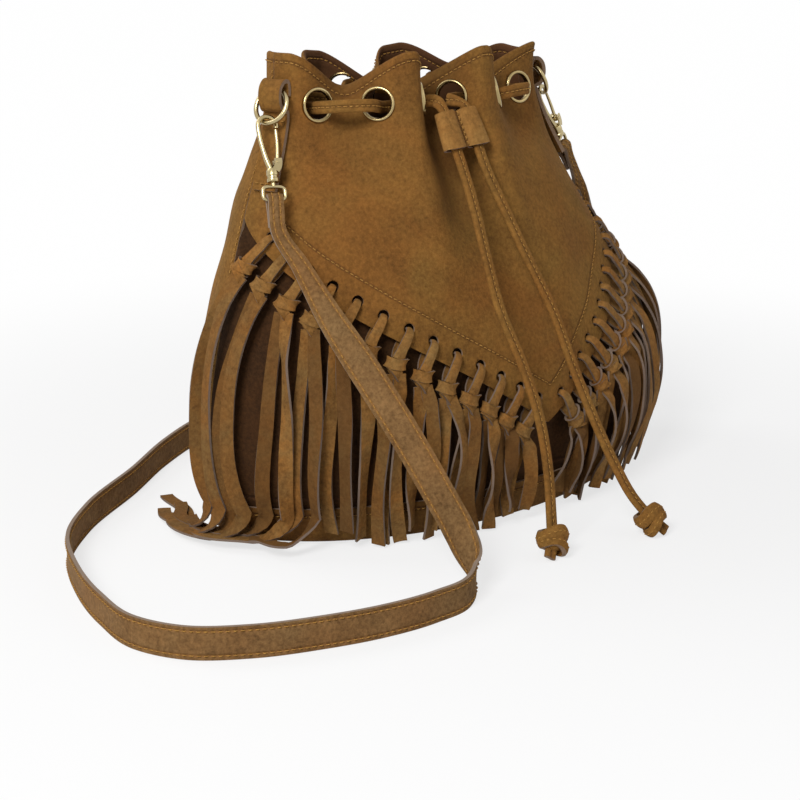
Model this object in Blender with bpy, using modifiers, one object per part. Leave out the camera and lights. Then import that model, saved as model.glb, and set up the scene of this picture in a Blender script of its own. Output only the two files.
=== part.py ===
"""Fringed suede drawstring bag: metres, +Z up, the front faces -Y, the floor is z = 0.

Two suede panels are sewn together at the left and right ends and stand in a turned-up
base. A drawcord through twelve eyelets gathers the mouth into folds. The front yoke ends
in a V with a row of holes, and a knotted strip of suede hangs from each hole. A strap is
clipped with a trigger hook to a ring at each end of the mouth.

Places on the wall are given by u and z. u runs along the outline seen from above: 0 at the
left seam, 0.5 at the front centre, 1 at the right seam, 1.5 at the back centre and 2 at the
left seam again.
"""

import math

import bmesh
import bpy
import numpy as np
from mathutils import Matrix, Vector

OBJECT_NAME = "fringed_suede_bag"
CORD_NAMES = ("shoulder_strap", "drawcord")

# Clearance between two solids that touch on the real bag
GAP = 0.0003

# Suede wall: thickness, and the outline seen from above at six heights
SUEDE = 0.0017
WALL_HEIGHTS = (0.000, 0.025, 0.070, 0.120, 0.165, 0.211, 0.240)
HALF_WIDTHS = (0.134, 0.145, 0.147, 0.126, 0.1045, 0.085, 0.084)
HALF_DEPTHS = (0.074, 0.082, 0.085, 0.075, 0.061, 0.046, 0.044)
CENTRE_X = (0.002, 0.003, 0.006, -0.004, -0.012, -0.0165, -0.017)
CENTRE_Y = (0.0, 0.0, 0.0, 0.0, 0.0, -0.002, -0.003)
END_PINCH = 0.15
OUTLINE_EVENING = 0.15

# Mouth: the drawcord's height and the rim above it, which dips where a fold goes inwards
CORD_HEIGHT = 0.211
RIM_HEIGHT = 0.236

# Inward folds: u of the middle, half width in u, depth at the cord, depth at the rim,
# height of the fold's foot, and how far the rim dips in it
FOLDS = (
    (0.195, 0.140, 0.013, 0.020, 0.160, 0.0170),
    (0.460, 0.120, 0.027, 0.033, 0.100, 0.0190),
    (0.735, 0.140, 0.013, 0.020, 0.160, 0.0150),
    (1.200, 0.140, 0.013, 0.019, 0.160, 0.0140),
    (1.500, 0.120, 0.018, 0.023, 0.130, 0.0150),
    (1.800, 0.140, 0.013, 0.019, 0.160, 0.0140),
)

# Longer dips of the rim: u of the middle, half width in u, and fall
RIM_DIPS = ((1.000, 0.220, 0.0075), (1.500, 0.420, 0.0070))

# Columns of each panel in u, and the rows above the base's edge as shares of the height
COLUMN_STEP = 0.030
SEAM_U = 0.0018
SEAM_NEXT_U = 0.0100
YOKE_ROWS = 9
LOWER_ROWS = (0, 0.34, 0.68, 1)
LOWER_ROWS_AT_HOLES = (-0.016, 0.004, 0.015)
BACK_ROWS = (0, 0.14, 0.31, 0.49, 0.64, 0.77, 0.865, 0.93, 1)

# Base: turned-up edge outside the panels
BASE_THICKNESS = 0.0018
BASE_EDGE_HEIGHT = 0.020
PANEL_FOOT = 0.0045

# Yoke: height of the hole row at the seam and its fall per unit of u, and the lines beside it
HOLE_ROW_HEIGHT = 0.1676
HOLE_ROW_FALL = 0.218
FIRST_HOLE_U = 0.0780
HOLE_STEP_U = 0.0331
HOLES_PER_SIDE = 13
HOLE_RADIUS = 0.0031
EDGE_BELOW_HOLES = 0.009
STRIP_ROOM = 0.0028

# Tassels: one strip of suede each, doubled over the yoke's edge and knotted
STRIP_WIDTH = 0.0062
STRIP_THICKNESS = 0.0012
STRIP_WAIST = 0.0030
KNOT_WIDTH = 0.0092
KNOT_HEIGHT = 0.0084
KNOT_DEPTH = 0.0056
KNOT_BELOW_HOLES = 0.0186
TAIL_FLOOR = 0.0018
TAIL_SHARES = (0.0, 0.13, 0.38, 0.69, 1.0)
TAIL_LAYER = 0.0018

# Eyelets: a rolled brass ring clamped through a hole in the wall
EYELET_HOLE = 0.0050
EYELET_FLANGE = 0.0083
EYELET_BARREL = 0.0004
EYELET_GRIP = 0.0042
EYELET_LIP = 0.0006

# Drawcord: a flat folded and stitched suede cord
CORD_WIDTH = 0.0062
CORD_THICKNESS = 0.0026
CORD_STANDOFF = 0.0052
CORD_SAG = 0.0012
END_STEP = 0.018
CORD_KNOT_WIDTH = 0.0150
CORD_KNOT_LENGTH = 0.0130

# Slider: a suede keeper with one channel for each cord end
SLIDER_WIDTH = 0.0270
SLIDER_THICKNESS = 0.0056
SLIDER_LENGTH = 0.0170
CHANNEL_PITCH = 0.0150
CHANNEL_GAP = 0.0004
SLIDER_CENTRE = Vector((-0.0228, -0.0500, 0.1985))
SLIDER_DOWN = Vector((0.05, -0.42, -0.90))
SLIDER_TRAVEL = 0.016

# Ring tabs at both ends of the mouth, and the rings in them
TAB_WIDTH = 0.0136
TAB_THICKNESS = 0.0015
TAB_CENTRE_U = 0.030
TAB_FOOT = 0.172
TAB_STANDOFF = 0.0007
ROLL_HEIGHT = 0.0110
ROLL_WIDEST = 0.0075
RING_RADIUS = 0.0086
RING_WIRE = 0.00115
RING_TOP = 0.2195
RING_LIFT = 0.0082
ROLL_SLACK = 0.0004

# Trigger hooks, drawn along their length: the swivel barrel is at y = 0, the nose at +y
HOOK_WIRE = 0.0011
NOSE_RADIUS = 0.0044
NOSE_CENTRE = (-0.0007, 0.0256)
BARREL_RADIUS = 0.0029
BARREL_FOOT = -0.0025
BARREL_TOP = 0.0042
BARREL_WALL = 0.0013
STUD_RADIUS = 0.0010
STUD_HEAD = 0.0017
PIVOT = (0.0027, 0.0072)
PIN_RADIUS = 0.00085
FORK_HALF_WIDTH = 0.0026
FORK_SLOT = 0.0019
GATE_WIDTH = 0.0019
GATE_EYE_RADIUS = 0.0020
GATE_TIP = (0.0033, 0.0234)
SPRING_WIRE = 0.0002
SPRING_RADIUS = 0.0015
HOOK_TURN = math.radians(40)
RING_SEAT_GAP = 0.0009
HOOK_DROPS = {-1: Vector((-0.22, -0.38, -0.90)), 1: Vector((0.53, 0.05, -0.85))}

# Swivel eyes, which carry the strap
EYE_HALF_WIDTH = 0.0054
EYE_HALF_HEIGHT = 0.0033
EYE_WIRE = 0.0009
EYE_CENTRE = -0.0078
EYE_SQUARENESS = 0.55

# Shoulder strap
STRAP_WIDTH = 0.0150
STRAP_END_WIDTH = 0.0074
STRAP_THICKNESS = 0.0018
STRAP_TAPER = 0.030
STRAP_TURN_BACK = 0.0130
STRAP_STEP = 0.0135

# Strap route between the two swivel eyes: place, and the direction of the strap's width
STRAP_ROUTE = (
    ((-0.1165, -0.0405, 0.1400), (0.84, -0.52, 0.16)),
    ((-0.1145, -0.0590, 0.1185), (0.82, -0.50, 0.28)),
    ((-0.1100, -0.0770, 0.0970), (0.78, -0.44, 0.44)),
    ((-0.1045, -0.0970, 0.0715), (0.72, -0.36, 0.60)),
    ((-0.0985, -0.1150, 0.0445), (0.60, -0.20, 0.78)),
    ((-0.0945, -0.1285, 0.0235), (0.35, 0.00, 0.94)),
    ((-0.0975, -0.1400, 0.0110), (0.10, 0.05, 0.99)),
    ((-0.1110, -0.1500, 0.0080), (0.00, 0.00, 1.00)),
    ((-0.1340, -0.1530, 0.0078), (0.00, 0.00, 1.00)),
    ((-0.1620, -0.1500, 0.0078), (0.00, 0.00, 1.00)),
    ((-0.1890, -0.1420, 0.0078), (0.00, 0.00, 1.00)),
    ((-0.2180, -0.1290, 0.0078), (0.00, 0.00, 1.00)),
    ((-0.2390, -0.1120, 0.0078), (0.00, 0.00, 1.00)),
    ((-0.2490, -0.0880, 0.0078), (0.00, 0.00, 1.00)),
    ((-0.2450, -0.0560, 0.0078), (0.00, 0.00, 1.00)),
    ((-0.2330, -0.0180, 0.0078), (0.00, 0.00, 1.00)),
    ((-0.2140, 0.0190, 0.0078), (0.00, 0.00, 1.00)),
    ((-0.1850, 0.0480, 0.0078), (0.00, 0.00, 1.00)),
    ((-0.1330, 0.0830, 0.0078), (0.00, 0.00, 1.00)),
    ((-0.0930, 0.1120, 0.0078), (0.00, 0.00, 1.00)),
    ((-0.0560, 0.1330, 0.0078), (0.00, 0.00, 1.00)),
    ((-0.0100, 0.1480, 0.0078), (0.00, 0.00, 1.00)),
    ((0.0400, 0.1490, 0.0080), (0.00, 0.00, 1.00)),
    ((0.0860, 0.1370, 0.0120), (0.00, 0.10, 0.99)),
    ((0.1200, 0.1120, 0.0240), (-0.10, 0.30, 0.95)),
    ((0.1430, 0.0820, 0.0440), (-0.25, 0.45, 0.86)),
    ((0.1560, 0.0520, 0.0680), (-0.40, 0.60, 0.70)),
    ((0.1570, 0.0270, 0.0880), (-0.40, 0.75, 0.50)),
    ((0.1500, 0.0110, 0.1050), (-0.35, 0.82, 0.42)),
    ((0.1400, 0.0030, 0.1180), (-0.28, 0.86, 0.35)),
    ((0.1240, -0.0010, 0.1330), (-0.20, 0.92, 0.25)),
)

# Hanging ends of the drawcord, from the slider to the knot on the floor
LEFT_END_ROUTE = (
    (-0.0300, -0.0690, 0.1590),
    (-0.0320, -0.0790, 0.1380),
    (-0.0320, -0.0890, 0.1140),
    (-0.0285, -0.1010, 0.0890),
    (-0.0265, -0.1110, 0.0640),
    (-0.0280, -0.1190, 0.0400),
    (-0.0325, -0.1260, 0.0200),
)
LEFT_KNOT = (-0.0375, -0.1320, 0.0082)
RIGHT_END_ROUTE = (
    (-0.0105, -0.0700, 0.1580),
    (-0.0040, -0.0800, 0.1340),
    (0.0030, -0.0915, 0.1080),
    (0.0070, -0.1010, 0.0830),
    (0.0100, -0.1130, 0.0580),
    (0.0140, -0.1240, 0.0360),
    (0.0180, -0.1340, 0.0190),
)
RIGHT_KNOT = (0.0225, -0.1430, 0.0082)

# Colours
SUEDE_TAN = (0.255, 0.128, 0.038, 1.0)
SUEDE_DEEP = (0.205, 0.100, 0.032, 1.0)
SUEDE_FRINGE = (0.270, 0.150, 0.060, 1.0)
STRAP_BROWN = (0.190, 0.098, 0.034, 1.0)
PALE_GOLD = (0.700, 0.610, 0.420, 1.0)


def smooth_curve(at, stations, values):
    """Cubic through the values at the stations, with slopes from their neighbours."""
    x = np.asarray(stations, float)
    y = np.asarray(values, float)
    at = np.clip(np.asarray(at, float), x[0], x[-1])
    slope = np.gradient(y, x, axis=0)
    k = np.clip(np.searchsorted(x, at, side="right") - 1, 0, len(x) - 2)
    h = x[k + 1] - x[k]
    t = (at - x[k]) / h
    if y.ndim > 1:
        h = h[..., None]
        t = t[..., None]
    return (
        (2 * t**3 - 3 * t**2 + 1) * y[k]
        + (t**3 - 2 * t**2 + t) * h * slope[k]
        + (3 * t**2 - 2 * t**3) * y[k + 1]
        + (t**3 - t**2) * h * slope[k + 1]
    )


def ease(t):
    t = np.clip(t, 0, 1)
    return t * t * (3 - 2 * t)


def fold_shape(u, fold):
    """How far the fold reaches at u: 1 in its middle, 0 at its edges."""
    middle, half = fold[:2]
    away = np.minimum(np.abs(u - middle), half)
    return 0.5 + 0.5 * np.cos(np.pi * away / half)


def rim_height(u):
    dips = sum(dip[2] * fold_shape(u, dip) for dip in RIM_DIPS)
    return RIM_HEIGHT - dips - sum(fold[5] * fold_shape(u, fold) for fold in FOLDS)


def fold_depth(u, z):
    """Distance that the gathers push the wall inwards."""
    above = (z - CORD_HEIGHT) / (rim_height(u) - CORD_HEIGHT)
    depth = 0
    for fold in FOLDS:
        at_cord, at_rim, foot = fold[2:5]
        below = ease((z - foot) / (CORD_HEIGHT - foot)) * at_cord
        over = at_cord + (at_rim - at_cord) * np.clip(above, 0, 1)
        depth = depth + fold_shape(u, fold) * np.where(z < CORD_HEIGHT, below, over)
    return depth


def outline(u, z):
    """Smooth outline without gathers, and its outward normal, both seen from above."""
    psi = np.pi * (1 + u)
    phi = psi + OUTLINE_EVENING * np.sin(2 * psi)
    half_width = smooth_curve(z, WALL_HEIGHTS, HALF_WIDTHS)
    half_depth = smooth_curve(z, WALL_HEIGHTS, HALF_DEPTHS)
    sine = np.sin(phi)
    bent = np.sign(sine) * np.abs(sine) ** (1 + END_PINCH)
    slope = (1 + END_PINCH) * (np.abs(sine) + 1e-4) ** END_PINCH * np.cos(phi)
    x = half_width * np.cos(phi) + smooth_curve(z, WALL_HEIGHTS, CENTRE_X)
    y = half_depth * bent + smooth_curve(z, WALL_HEIGHTS, CENTRE_Y)
    normal = np.stack([half_depth * slope, half_width * sine], -1)
    normal /= np.linalg.norm(normal, axis=-1, keepdims=True)
    return x, y, normal


def wall(u, z, offset=0.0):
    """Point of the outer face of the wall, moved outwards by the offset."""
    u, z, offset = np.broadcast_arrays(np.asarray(u, float), z, offset)
    x, y, normal = outline(u, z)
    move = offset - fold_depth(u, z)
    return np.stack([x + normal[..., 0] * move, y + normal[..., 1] * move, z], -1)


def wall_frame(u, z, offset=0.0):
    """Point of the wall with its unit tangents along u and z and its outward normal."""
    step = 1e-4
    along = wall(u + step, z, offset) - wall(u - step, z, offset)
    up = wall(u, z + step, offset) - wall(u, z - step, offset)
    along, up = Vector(along).normalized(), Vector(up).normalized()
    return Vector(wall(u, z, offset)), along, up, along.cross(up).normalized()


def hole_height(u):
    return HOLE_ROW_HEIGHT - HOLE_ROW_FALL * np.minimum(u, 1 - u)


def hole_slope(u):
    """Rise of the hole row per unit of u."""
    return -HOLE_ROW_FALL if u < 0.5 else HOLE_ROW_FALL


def knot_place(u):
    """u and z of the knot that hangs square to the yoke's edge below the hole at u."""
    row = float(hole_height(u))
    step = 1e-3
    per_u = (Vector(wall(u + step, row)) - Vector(wall(u - step, row))).length / (2 * step)
    angle = math.atan2(hole_slope(u), per_u)
    aside = KNOT_BELOW_HOLES * math.sin(angle) / per_u
    return u + aside, row - KNOT_BELOW_HOLES * math.cos(angle)


def edge_height(u):
    return hole_height(u) - EDGE_BELOW_HOLES


def lower_panel_offset(u, z):
    """The lower panel runs behind the yoke's edge, with room there for the strips."""
    rise = ease((z - edge_height(u) + 0.050) / 0.040)
    back = 1 - ease((z - hole_height(u) - 0.003) / 0.007)
    return -rise * (SUEDE + GAP + STRIP_ROOM * back)


def columns(start):
    """Values of u for one panel, closer together beside the seams."""
    count = round(1 / COLUMN_STEP)
    even = np.linspace(0, 1, count + 1)[1:-1]
    near = [SEAM_U, SEAM_NEXT_U]
    return start + np.concatenate([near, even, [1 - near[1], 1 - near[0]]])


def panel_rows(top, shares):
    """Heights of a panel's rows: its foot, the base's edge, then up to the top."""
    above = BASE_EDGE_HEIGHT + (top - BASE_EDGE_HEIGHT) * np.array(shares)[:, None]
    return np.concatenate([np.full((1, len(top)), PANEL_FOOT), above])


def material(name, colour, roughness, metallic=0.0):
    mat = bpy.data.materials.new(name)
    mat.use_nodes = True
    shader = mat.node_tree.nodes["Principled BSDF"]
    shader.inputs["Base Color"].default_value = colour
    shader.inputs["Roughness"].default_value = roughness
    shader.inputs["Metallic"].default_value = metallic
    return mat


def add_object(name, mesh, mat, collection, matrix=None):
    obj = bpy.data.objects.new(name, mesh)
    collection.objects.link(obj)
    if matrix is not None:
        obj.matrix_world = matrix
    if mat is not None:
        mesh.materials.append(mat)
    return obj


def mesh_of(name, points, faces):
    mesh = bpy.data.meshes.new(name)
    mesh.from_pydata([tuple(p) for p in points], [], faces)
    mesh.update()
    return mesh


def grid_mesh(name, points):
    """Open surface over a grid of points with rows going up and columns along u."""
    rows, cols = points.shape[:2]
    faces = [
        (r * cols + c, r * cols + c + 1, (r + 1) * cols + c + 1, (r + 1) * cols + c)
        for r in range(rows - 1)
        for c in range(cols - 1)
    ]
    return mesh_of(name, points.reshape(-1, 3), faces)


def thicken(obj, thickness):
    """Solidify away from the side that the normals face."""
    solid = obj.modifiers.new("Thickness", "SOLIDIFY")
    solid.thickness = thickness
    solid.offset = -1
    solid.use_even_offset = True
    flat = obj.modifiers.new("Triangles", "TRIANGULATE")
    flat.quad_method = "BEAUTY"


def cut(obj, cutters, collection):
    """Take every cutter away from the object."""
    group = bpy.data.collections.new(obj.name + "_cutters")
    collection.children.link(group)
    for cutter in cutters:
        group.objects.link(cutter)
        cutter.hide_render = True
        cutter.display_type = "WIRE"
    modifier = obj.modifiers.new("Holes", "BOOLEAN")
    modifier.operation = "DIFFERENCE"
    modifier.operand_type = "COLLECTION"
    modifier.collection = group


def join(obj, others, collection, operation="UNION"):
    """Add each of the others to the object, or take it away, in turn."""
    for other in others:
        collection.objects.link(other)
        other.hide_render = True
        other.display_type = "WIRE"
        modifier = obj.modifiers.new(other.name, "BOOLEAN")
        modifier.operation = operation
        modifier.object = other


def cylinder(name, radius, length, matrix, segments=12):
    """Cylinder along local Z, centred on the matrix's place."""
    mesh = bpy.data.meshes.new(name)
    form = bmesh.new()
    bmesh.ops.create_cone(
        form,
        cap_ends=True,
        segments=segments,
        radius1=radius,
        radius2=radius,
        depth=length,
    )
    form.to_mesh(mesh)
    form.free()
    obj = bpy.data.objects.new(name, mesh)
    obj.matrix_world = matrix
    return obj


def box(name, low, high, matrix):
    mesh = bpy.data.meshes.new(name)
    form = bmesh.new()
    bmesh.ops.create_cube(form, size=1)
    low, high = Vector(low), Vector(high)
    for vertex in form.verts:
        vertex.co = (low + high) / 2 + vertex.co * (high - low)
    form.to_mesh(mesh)
    form.free()
    obj = bpy.data.objects.new(name, mesh)
    obj.matrix_world = matrix
    return obj


def frame_matrix(origin, x_axis, y_axis, z_axis):
    turn = Matrix((x_axis, y_axis, z_axis)).transposed().to_4x4()
    return Matrix.Translation(origin) @ turn


def turned(name, profile, steps, collection, mat, matrix):
    """Screw a profile of (radius, height) pairs about local Z."""
    mesh = bpy.data.meshes.new(name)
    places = [(radius, 0, height) for radius, height in profile]
    mesh.from_pydata(places, [(i, i + 1) for i in range(len(profile) - 1)], [])
    obj = add_object(name, mesh, mat, collection, matrix)
    screw = obj.modifiers.new("Turn", "SCREW")
    screw.steps = steps
    screw.render_steps = steps
    screw.use_merge_vertices = True
    screw.merge_threshold = 0.00001
    return obj


def wire(name, points, radius, resolution, cyclic=False):
    """Round wire through the points, as a curve."""
    curve = bpy.data.curves.new(name, "CURVE")
    curve.dimensions = "3D"
    curve.bevel_depth = radius
    curve.bevel_resolution = resolution
    curve.use_fill_caps = not cyclic
    spline = curve.splines.new("POLY")
    spline.points.add(len(points) - 1)
    for point, place in zip(spline.points, points):
        point.co = (*place, 1)
    spline.use_cyclic_u = cyclic
    return bpy.data.objects.new(name, curve)


def meshed(curve_object, matrix):
    """The curve as a closed mesh object in the same place."""
    scene = bpy.context.scene.collection
    scene.objects.link(curve_object)
    curve_object.matrix_world = matrix
    bpy.context.view_layer.update()
    graph = bpy.context.evaluated_depsgraph_get()
    mesh = bpy.data.meshes.new_from_object(curve_object.evaluated_get(graph))
    form = bmesh.new()
    form.from_mesh(mesh)
    bmesh.ops.remove_doubles(form, verts=form.verts, dist=0.000001)
    bmesh.ops.recalc_face_normals(form, faces=form.faces)
    form.to_mesh(mesh)
    form.free()
    name = curve_object.name
    bpy.data.objects.remove(curve_object)
    obj = bpy.data.objects.new(name, mesh)
    obj.matrix_world = matrix
    return obj


def even_path(points, step, *along):
    """Points about one step apart on a smooth curve through the given ones.

    Further arrays, one row for each given point, are read at the same places.
    """
    points = np.asarray(points, float)
    chord = np.linalg.norm(np.diff(points, axis=0), axis=1)
    knots = np.concatenate([[0], np.cumsum(np.maximum(chord, 1e-6))])
    fine = np.linspace(0, knots[-1], 40 * len(points))
    dense = smooth_curve(fine, knots, points)
    run = np.concatenate(
        [[0], np.cumsum(np.linalg.norm(np.diff(dense, axis=0), axis=1))]
    )
    count = max(2, int(round(run[-1] / step)) + 1)
    at = np.interp(np.linspace(0, run[-1], count), run, fine)
    read = [smooth_curve(at, knots, np.asarray(a, float)) for a in along]
    return (smooth_curve(at, knots, points), *read)


def ribbon_mesh(name, points, width_dirs, widths, thicknesses):
    """Flat strip through the points, each cross-section a rectangle."""
    points = np.asarray(points, float)
    count = len(points)
    tangent = np.gradient(points, axis=0)
    tangent /= np.linalg.norm(tangent, axis=1, keepdims=True)
    side = np.asarray(width_dirs, float)
    side = side - tangent * np.sum(side * tangent, axis=1, keepdims=True)
    side /= np.linalg.norm(side, axis=1, keepdims=True)
    normal = np.cross(side, tangent)
    half_w = np.broadcast_to(widths, count)[:, None] / 2
    half_t = np.broadcast_to(thicknesses, count)[:, None] / 2
    ring = np.stack(
        [
            points + side * half_w + normal * half_t,
            points - side * half_w + normal * half_t,
            points - side * half_w - normal * half_t,
            points + side * half_w - normal * half_t,
        ],
        1,
    )
    faces = [(0, 1, 2, 3), tuple(4 * (count - 1) + k for k in (3, 2, 1, 0))]
    for i in range(count - 1):
        for k in range(4):
            n = (k + 1) % 4
            faces.append((4 * i + k, 4 * i + 4 + k, 4 * i + 4 + n, 4 * i + n))
    mesh = mesh_of(name, ring.reshape(-1, 3), faces)
    form = bmesh.new()
    form.from_mesh(mesh)
    bmesh.ops.triangulate(form, faces=form.faces)
    bmesh.ops.recalc_face_normals(form, faces=form.faces)
    form.to_mesh(mesh)
    form.free()
    return mesh


def ellipsoid(name, centre, size, up=Vector((0, 0, 1))):
    """Ellipsoid with its third size along the given direction."""
    mesh = bpy.data.meshes.new(name)
    form = bmesh.new()
    bmesh.ops.create_uvsphere(form, u_segments=8, v_segments=6, radius=0.5)
    turn = Vector((0, 0, 1)).rotation_difference(up).to_matrix()
    for vertex in form.verts:
        scaled = Vector(c * s for c, s in zip(vertex.co, size))
        vertex.co = turn @ scaled + Vector(centre)
    form.to_mesh(mesh)
    form.free()
    return bpy.data.objects.new(name, mesh)


def build_panels(parts, cutters, mats):
    """Yoke, lower front panel, back panel and base."""
    front, back = columns(0.0), columns(1.0)

    low = edge_height(front)
    top = rim_height(front)
    share = np.linspace(0, 1, YOKE_ROWS + 1)[:, None] ** 0.9
    z = low + (top - low) * share
    yoke = add_object(
        "front_yoke", grid_mesh("front_yoke", wall(front, z)), mats["tan"], parts
    )
    thicken(yoke, SUEDE)
    drills = []
    for u in hole_places():
        place, along, up, out = edge_frame(u)
        matrix = frame_matrix(place, along, up, out)
        drills.append(cylinder("strip_hole", HOLE_RADIUS, 0.008, matrix, 6))
    for u in eyelet_places():
        if u < 1:
            drills += eyelet_drills(u)
    cut(yoke, drills, cutters)

    at_holes = [hole_height(front)[None, :] + rise for rise in LOWER_ROWS_AT_HOLES]
    z = np.concatenate([panel_rows(at_holes[0][0], LOWER_ROWS), *at_holes[1:]])
    surface = wall(front, z, lower_panel_offset(front, z))
    lower = add_object(
        "front_lower_panel",
        grid_mesh("front_lower_panel", surface),
        mats["deep"],
        parts,
    )
    thicken(lower, SUEDE)

    z = panel_rows(rim_height(back), BACK_ROWS)
    panel = add_object(
        "back_panel", grid_mesh("back_panel", wall(back, z)), mats["tan"], parts
    )
    thicken(panel, SUEDE)
    drills = []
    for u in eyelet_places():
        if u > 1:
            drills += eyelet_drills(u)
    cut(panel, drills, cutters)

    build_base(parts, mats)


def build_base(parts, mats):
    """Oval bottom with its edge turned up round the panels."""
    u = np.concatenate([columns(0.0), columns(1.0)])
    outer = GAP + BASE_THICKNESS
    rings = [
        wall(u, 0.0) * (0.62, 0.62, 0),
        wall(u, 0.0, outer - 0.0030) * (1, 1, 0),
        wall(u, 0.0010, outer - 0.0008),
        wall(u, 0.0030, outer),
        wall(u, BASE_EDGE_HEIGHT, outer),
    ]
    count = len(u)
    points = [(0.0, 0.0, 0.0)]
    for ring in rings:
        points.extend(ring)
    faces = []
    for i in range(count):
        n = (i + 1) % count
        faces.append((0, 1 + n, 1 + i))
        for r in range(len(rings) - 1):
            a, b = 1 + r * count, 1 + (r + 1) * count
            faces.append((a + i, a + n, b + n, b + i))
    base = add_object(
        "base_panel", mesh_of("base_panel", points, faces), mats["deep"], parts
    )
    thicken(base, BASE_THICKNESS)


def hole_places():
    left = FIRST_HOLE_U + HOLE_STEP_U * np.arange(HOLES_PER_SIDE)
    return np.concatenate([left, 1 - left[::-1]])


def eyelet_places():
    """Each fold has one eyelet on either flank, half way down it."""
    return sorted(f[0] + side * f[1] / 2 for f in FOLDS for side in (-1, 1))


def eyelet_frame(u):
    place, along, up, out = wall_frame(u, CORD_HEIGHT, -SUEDE / 2)
    up = (Vector((0, 0, 1)) - out * out.z).normalized()
    return frame_matrix(place, up.cross(out), up, out)


def eyelet_drills(u):
    """Room for the barrel through the wall and for the two flanges on its faces."""
    frame = eyelet_frame(u)
    radius = EYELET_HOLE + EYELET_BARREL + GAP
    drills = [cylinder("eyelet_hole", radius, 0.012, frame, 12)]
    low = EYELET_GRIP / 2 - GAP
    high = EYELET_GRIP / 2 + EYELET_LIP + GAP
    for side in (-1, 1):
        seat = frame @ Matrix.Translation((0, 0, side * (low + high) / 2))
        drills.append(
            cylinder("flange_seat", EYELET_FLANGE + GAP, high - low, seat, 12)
        )
    return drills


def build_eyelets(parts, mats):
    half = EYELET_GRIP / 2
    inner, outer = EYELET_HOLE, EYELET_HOLE + EYELET_BARREL
    profile = [
        (inner, half + EYELET_LIP),
        (EYELET_FLANGE, half + 0.3 * EYELET_LIP),
        (outer, half),
        (outer, -half),
        (EYELET_FLANGE, -half - 0.3 * EYELET_LIP),
        (inner, -half - EYELET_LIP),
        (inner, half + EYELET_LIP),
    ]
    for number, u in enumerate(eyelet_places(), 1):
        name = f"eyelet_{number:02d}"
        turned(name, profile, 12, parts, mats["gold"], eyelet_frame(u))


def edge_frame(u):
    """Place of one hole, with directions along the yoke's edge, up across it and outwards."""
    step = 1e-3
    place, _, _, out = wall_frame(u, hole_height(u))
    ahead = Vector(wall(u + step, hole_height(u) + hole_slope(u) * step))
    behind = Vector(wall(u - step, hole_height(u) - hole_slope(u) * step))
    along = (ahead - behind).normalized()
    return place, along, out.cross(along).normalized(), out


def build_tassels(parts, cutters, mats):
    """One suede strip for each hole: looped round the edge, knotted, with two tails."""
    front = STRIP_THICKNESS / 2 + GAP + 0.0002
    back = SUEDE + STRIP_THICKNESS / 2 + GAP + 0.0005
    half_knot = KNOT_HEIGHT / 2
    for number, u in enumerate(hole_places(), 1):
        place, along, up, out = edge_frame(u)
        knot_u, knot_z = knot_place(u)
        knot_wall, _, _, knot_out = wall_frame(knot_u, knot_z)
        knot = knot_wall + knot_out * 0.0004
        name = f"tassel_{number:02d}"
        splay = 0.0009 * math.sin(2.1 * number)
        layer = 2 * TAIL_LAYER * (number % 2)
        outward = Vector((knot_out.x, knot_out.y, 0)).normalized()
        flat = Vector((0, 0, 1)).cross(outward)
        tails = [
            tail_points(knot_u, knot, flat, outward, layer, splay, side)
            for side in (1, -1)
        ]
        loop = [
            (knot + up * half_knot + out * 0.0016, 1.0, along),
            (place - up * 0.0024 + out * front, 0.60, along),
            (place - out * SUEDE / 2, STRIP_WAIST / STRIP_WIDTH, along),
            (place - up * 0.0024 - out * back, 0.60, along),
            (place - up * (EDGE_BELOW_HOLES + 0.0030) - out * back, 1.0, along),
            (knot + up * half_knot * 0.9 - out * 0.0010, 1.0, along),
        ]
        run = tails[0][::-1] + loop + tails[1]
        mesh = ribbon_mesh(
            name,
            [tuple(place) for place, _, _ in run],
            [tuple(width) for _, _, width in run],
            STRIP_WIDTH * np.array([share for _, share, _ in run]),
            STRIP_THICKNESS,
        )
        strip = add_object(name, mesh, mats["fringe"], parts)
        size = (KNOT_WIDTH, KNOT_DEPTH, KNOT_HEIGHT)
        knot_form = knot_block(name + "_knot", knot, along, knot_out, size)
        join(strip, [knot_form], cutters)


def tail_points(u, knot, flat, outward, layer, splay, side):
    """Tail from the knot to just above the floor, clear of the lower panel and base.

    The layer is how far every other tassel's tails hang in front of their neighbours'.
    """
    places = []
    top = knot.z - KNOT_HEIGHT * 0.3
    for share in TAIL_SHARES:
        z = top + (TAIL_FLOOR - top) * share
        shift = side * (0.0008 + 0.0020 * share) + splay * share
        away = 0.0040 + 0.0034 * share + layer * min(1, share / TAIL_SHARES[1])
        away += side * TAIL_LAYER / 2
        base = Vector(wall(u, z, away))
        if share == 0.0:
            base = knot - Vector((0, 0, KNOT_HEIGHT * 0.3)) + outward * 0.0011 * side
        places.append((base + flat * shift, 1.0, flat))
    return places


def knot_block(name, centre, along, out, size):
    """Block that stands for one knot: its width, depth and height."""
    across = (along - out * along.dot(out)).normalized()
    return box(
        name,
        [-side / 2 for side in size],
        [side / 2 for side in size],
        frame_matrix(centre, across, out, across.cross(out)),
    )


def slider_matrix():
    down = SLIDER_DOWN.normalized()
    side = (Vector((1, 0, 0)) - down * down.x).normalized()
    return frame_matrix(SLIDER_CENTRE, side, down.cross(side) * -1, down * -1)


def extruded(name, loops, depth, matrix):
    """Flat outline with its holes, given depth along local Z."""
    curve = bpy.data.curves.new(name, "CURVE")
    curve.dimensions = "2D"
    curve.fill_mode = "BOTH"
    curve.extrude = depth / 2
    for loop in loops:
        spline = curve.splines.new("POLY")
        spline.points.add(len(loop) - 1)
        for point, place in zip(spline.points, loop):
            point.co = (*place, 0, 1)
        spline.use_cyclic_u = True
    return meshed(bpy.data.objects.new(name, curve), matrix)


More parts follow.
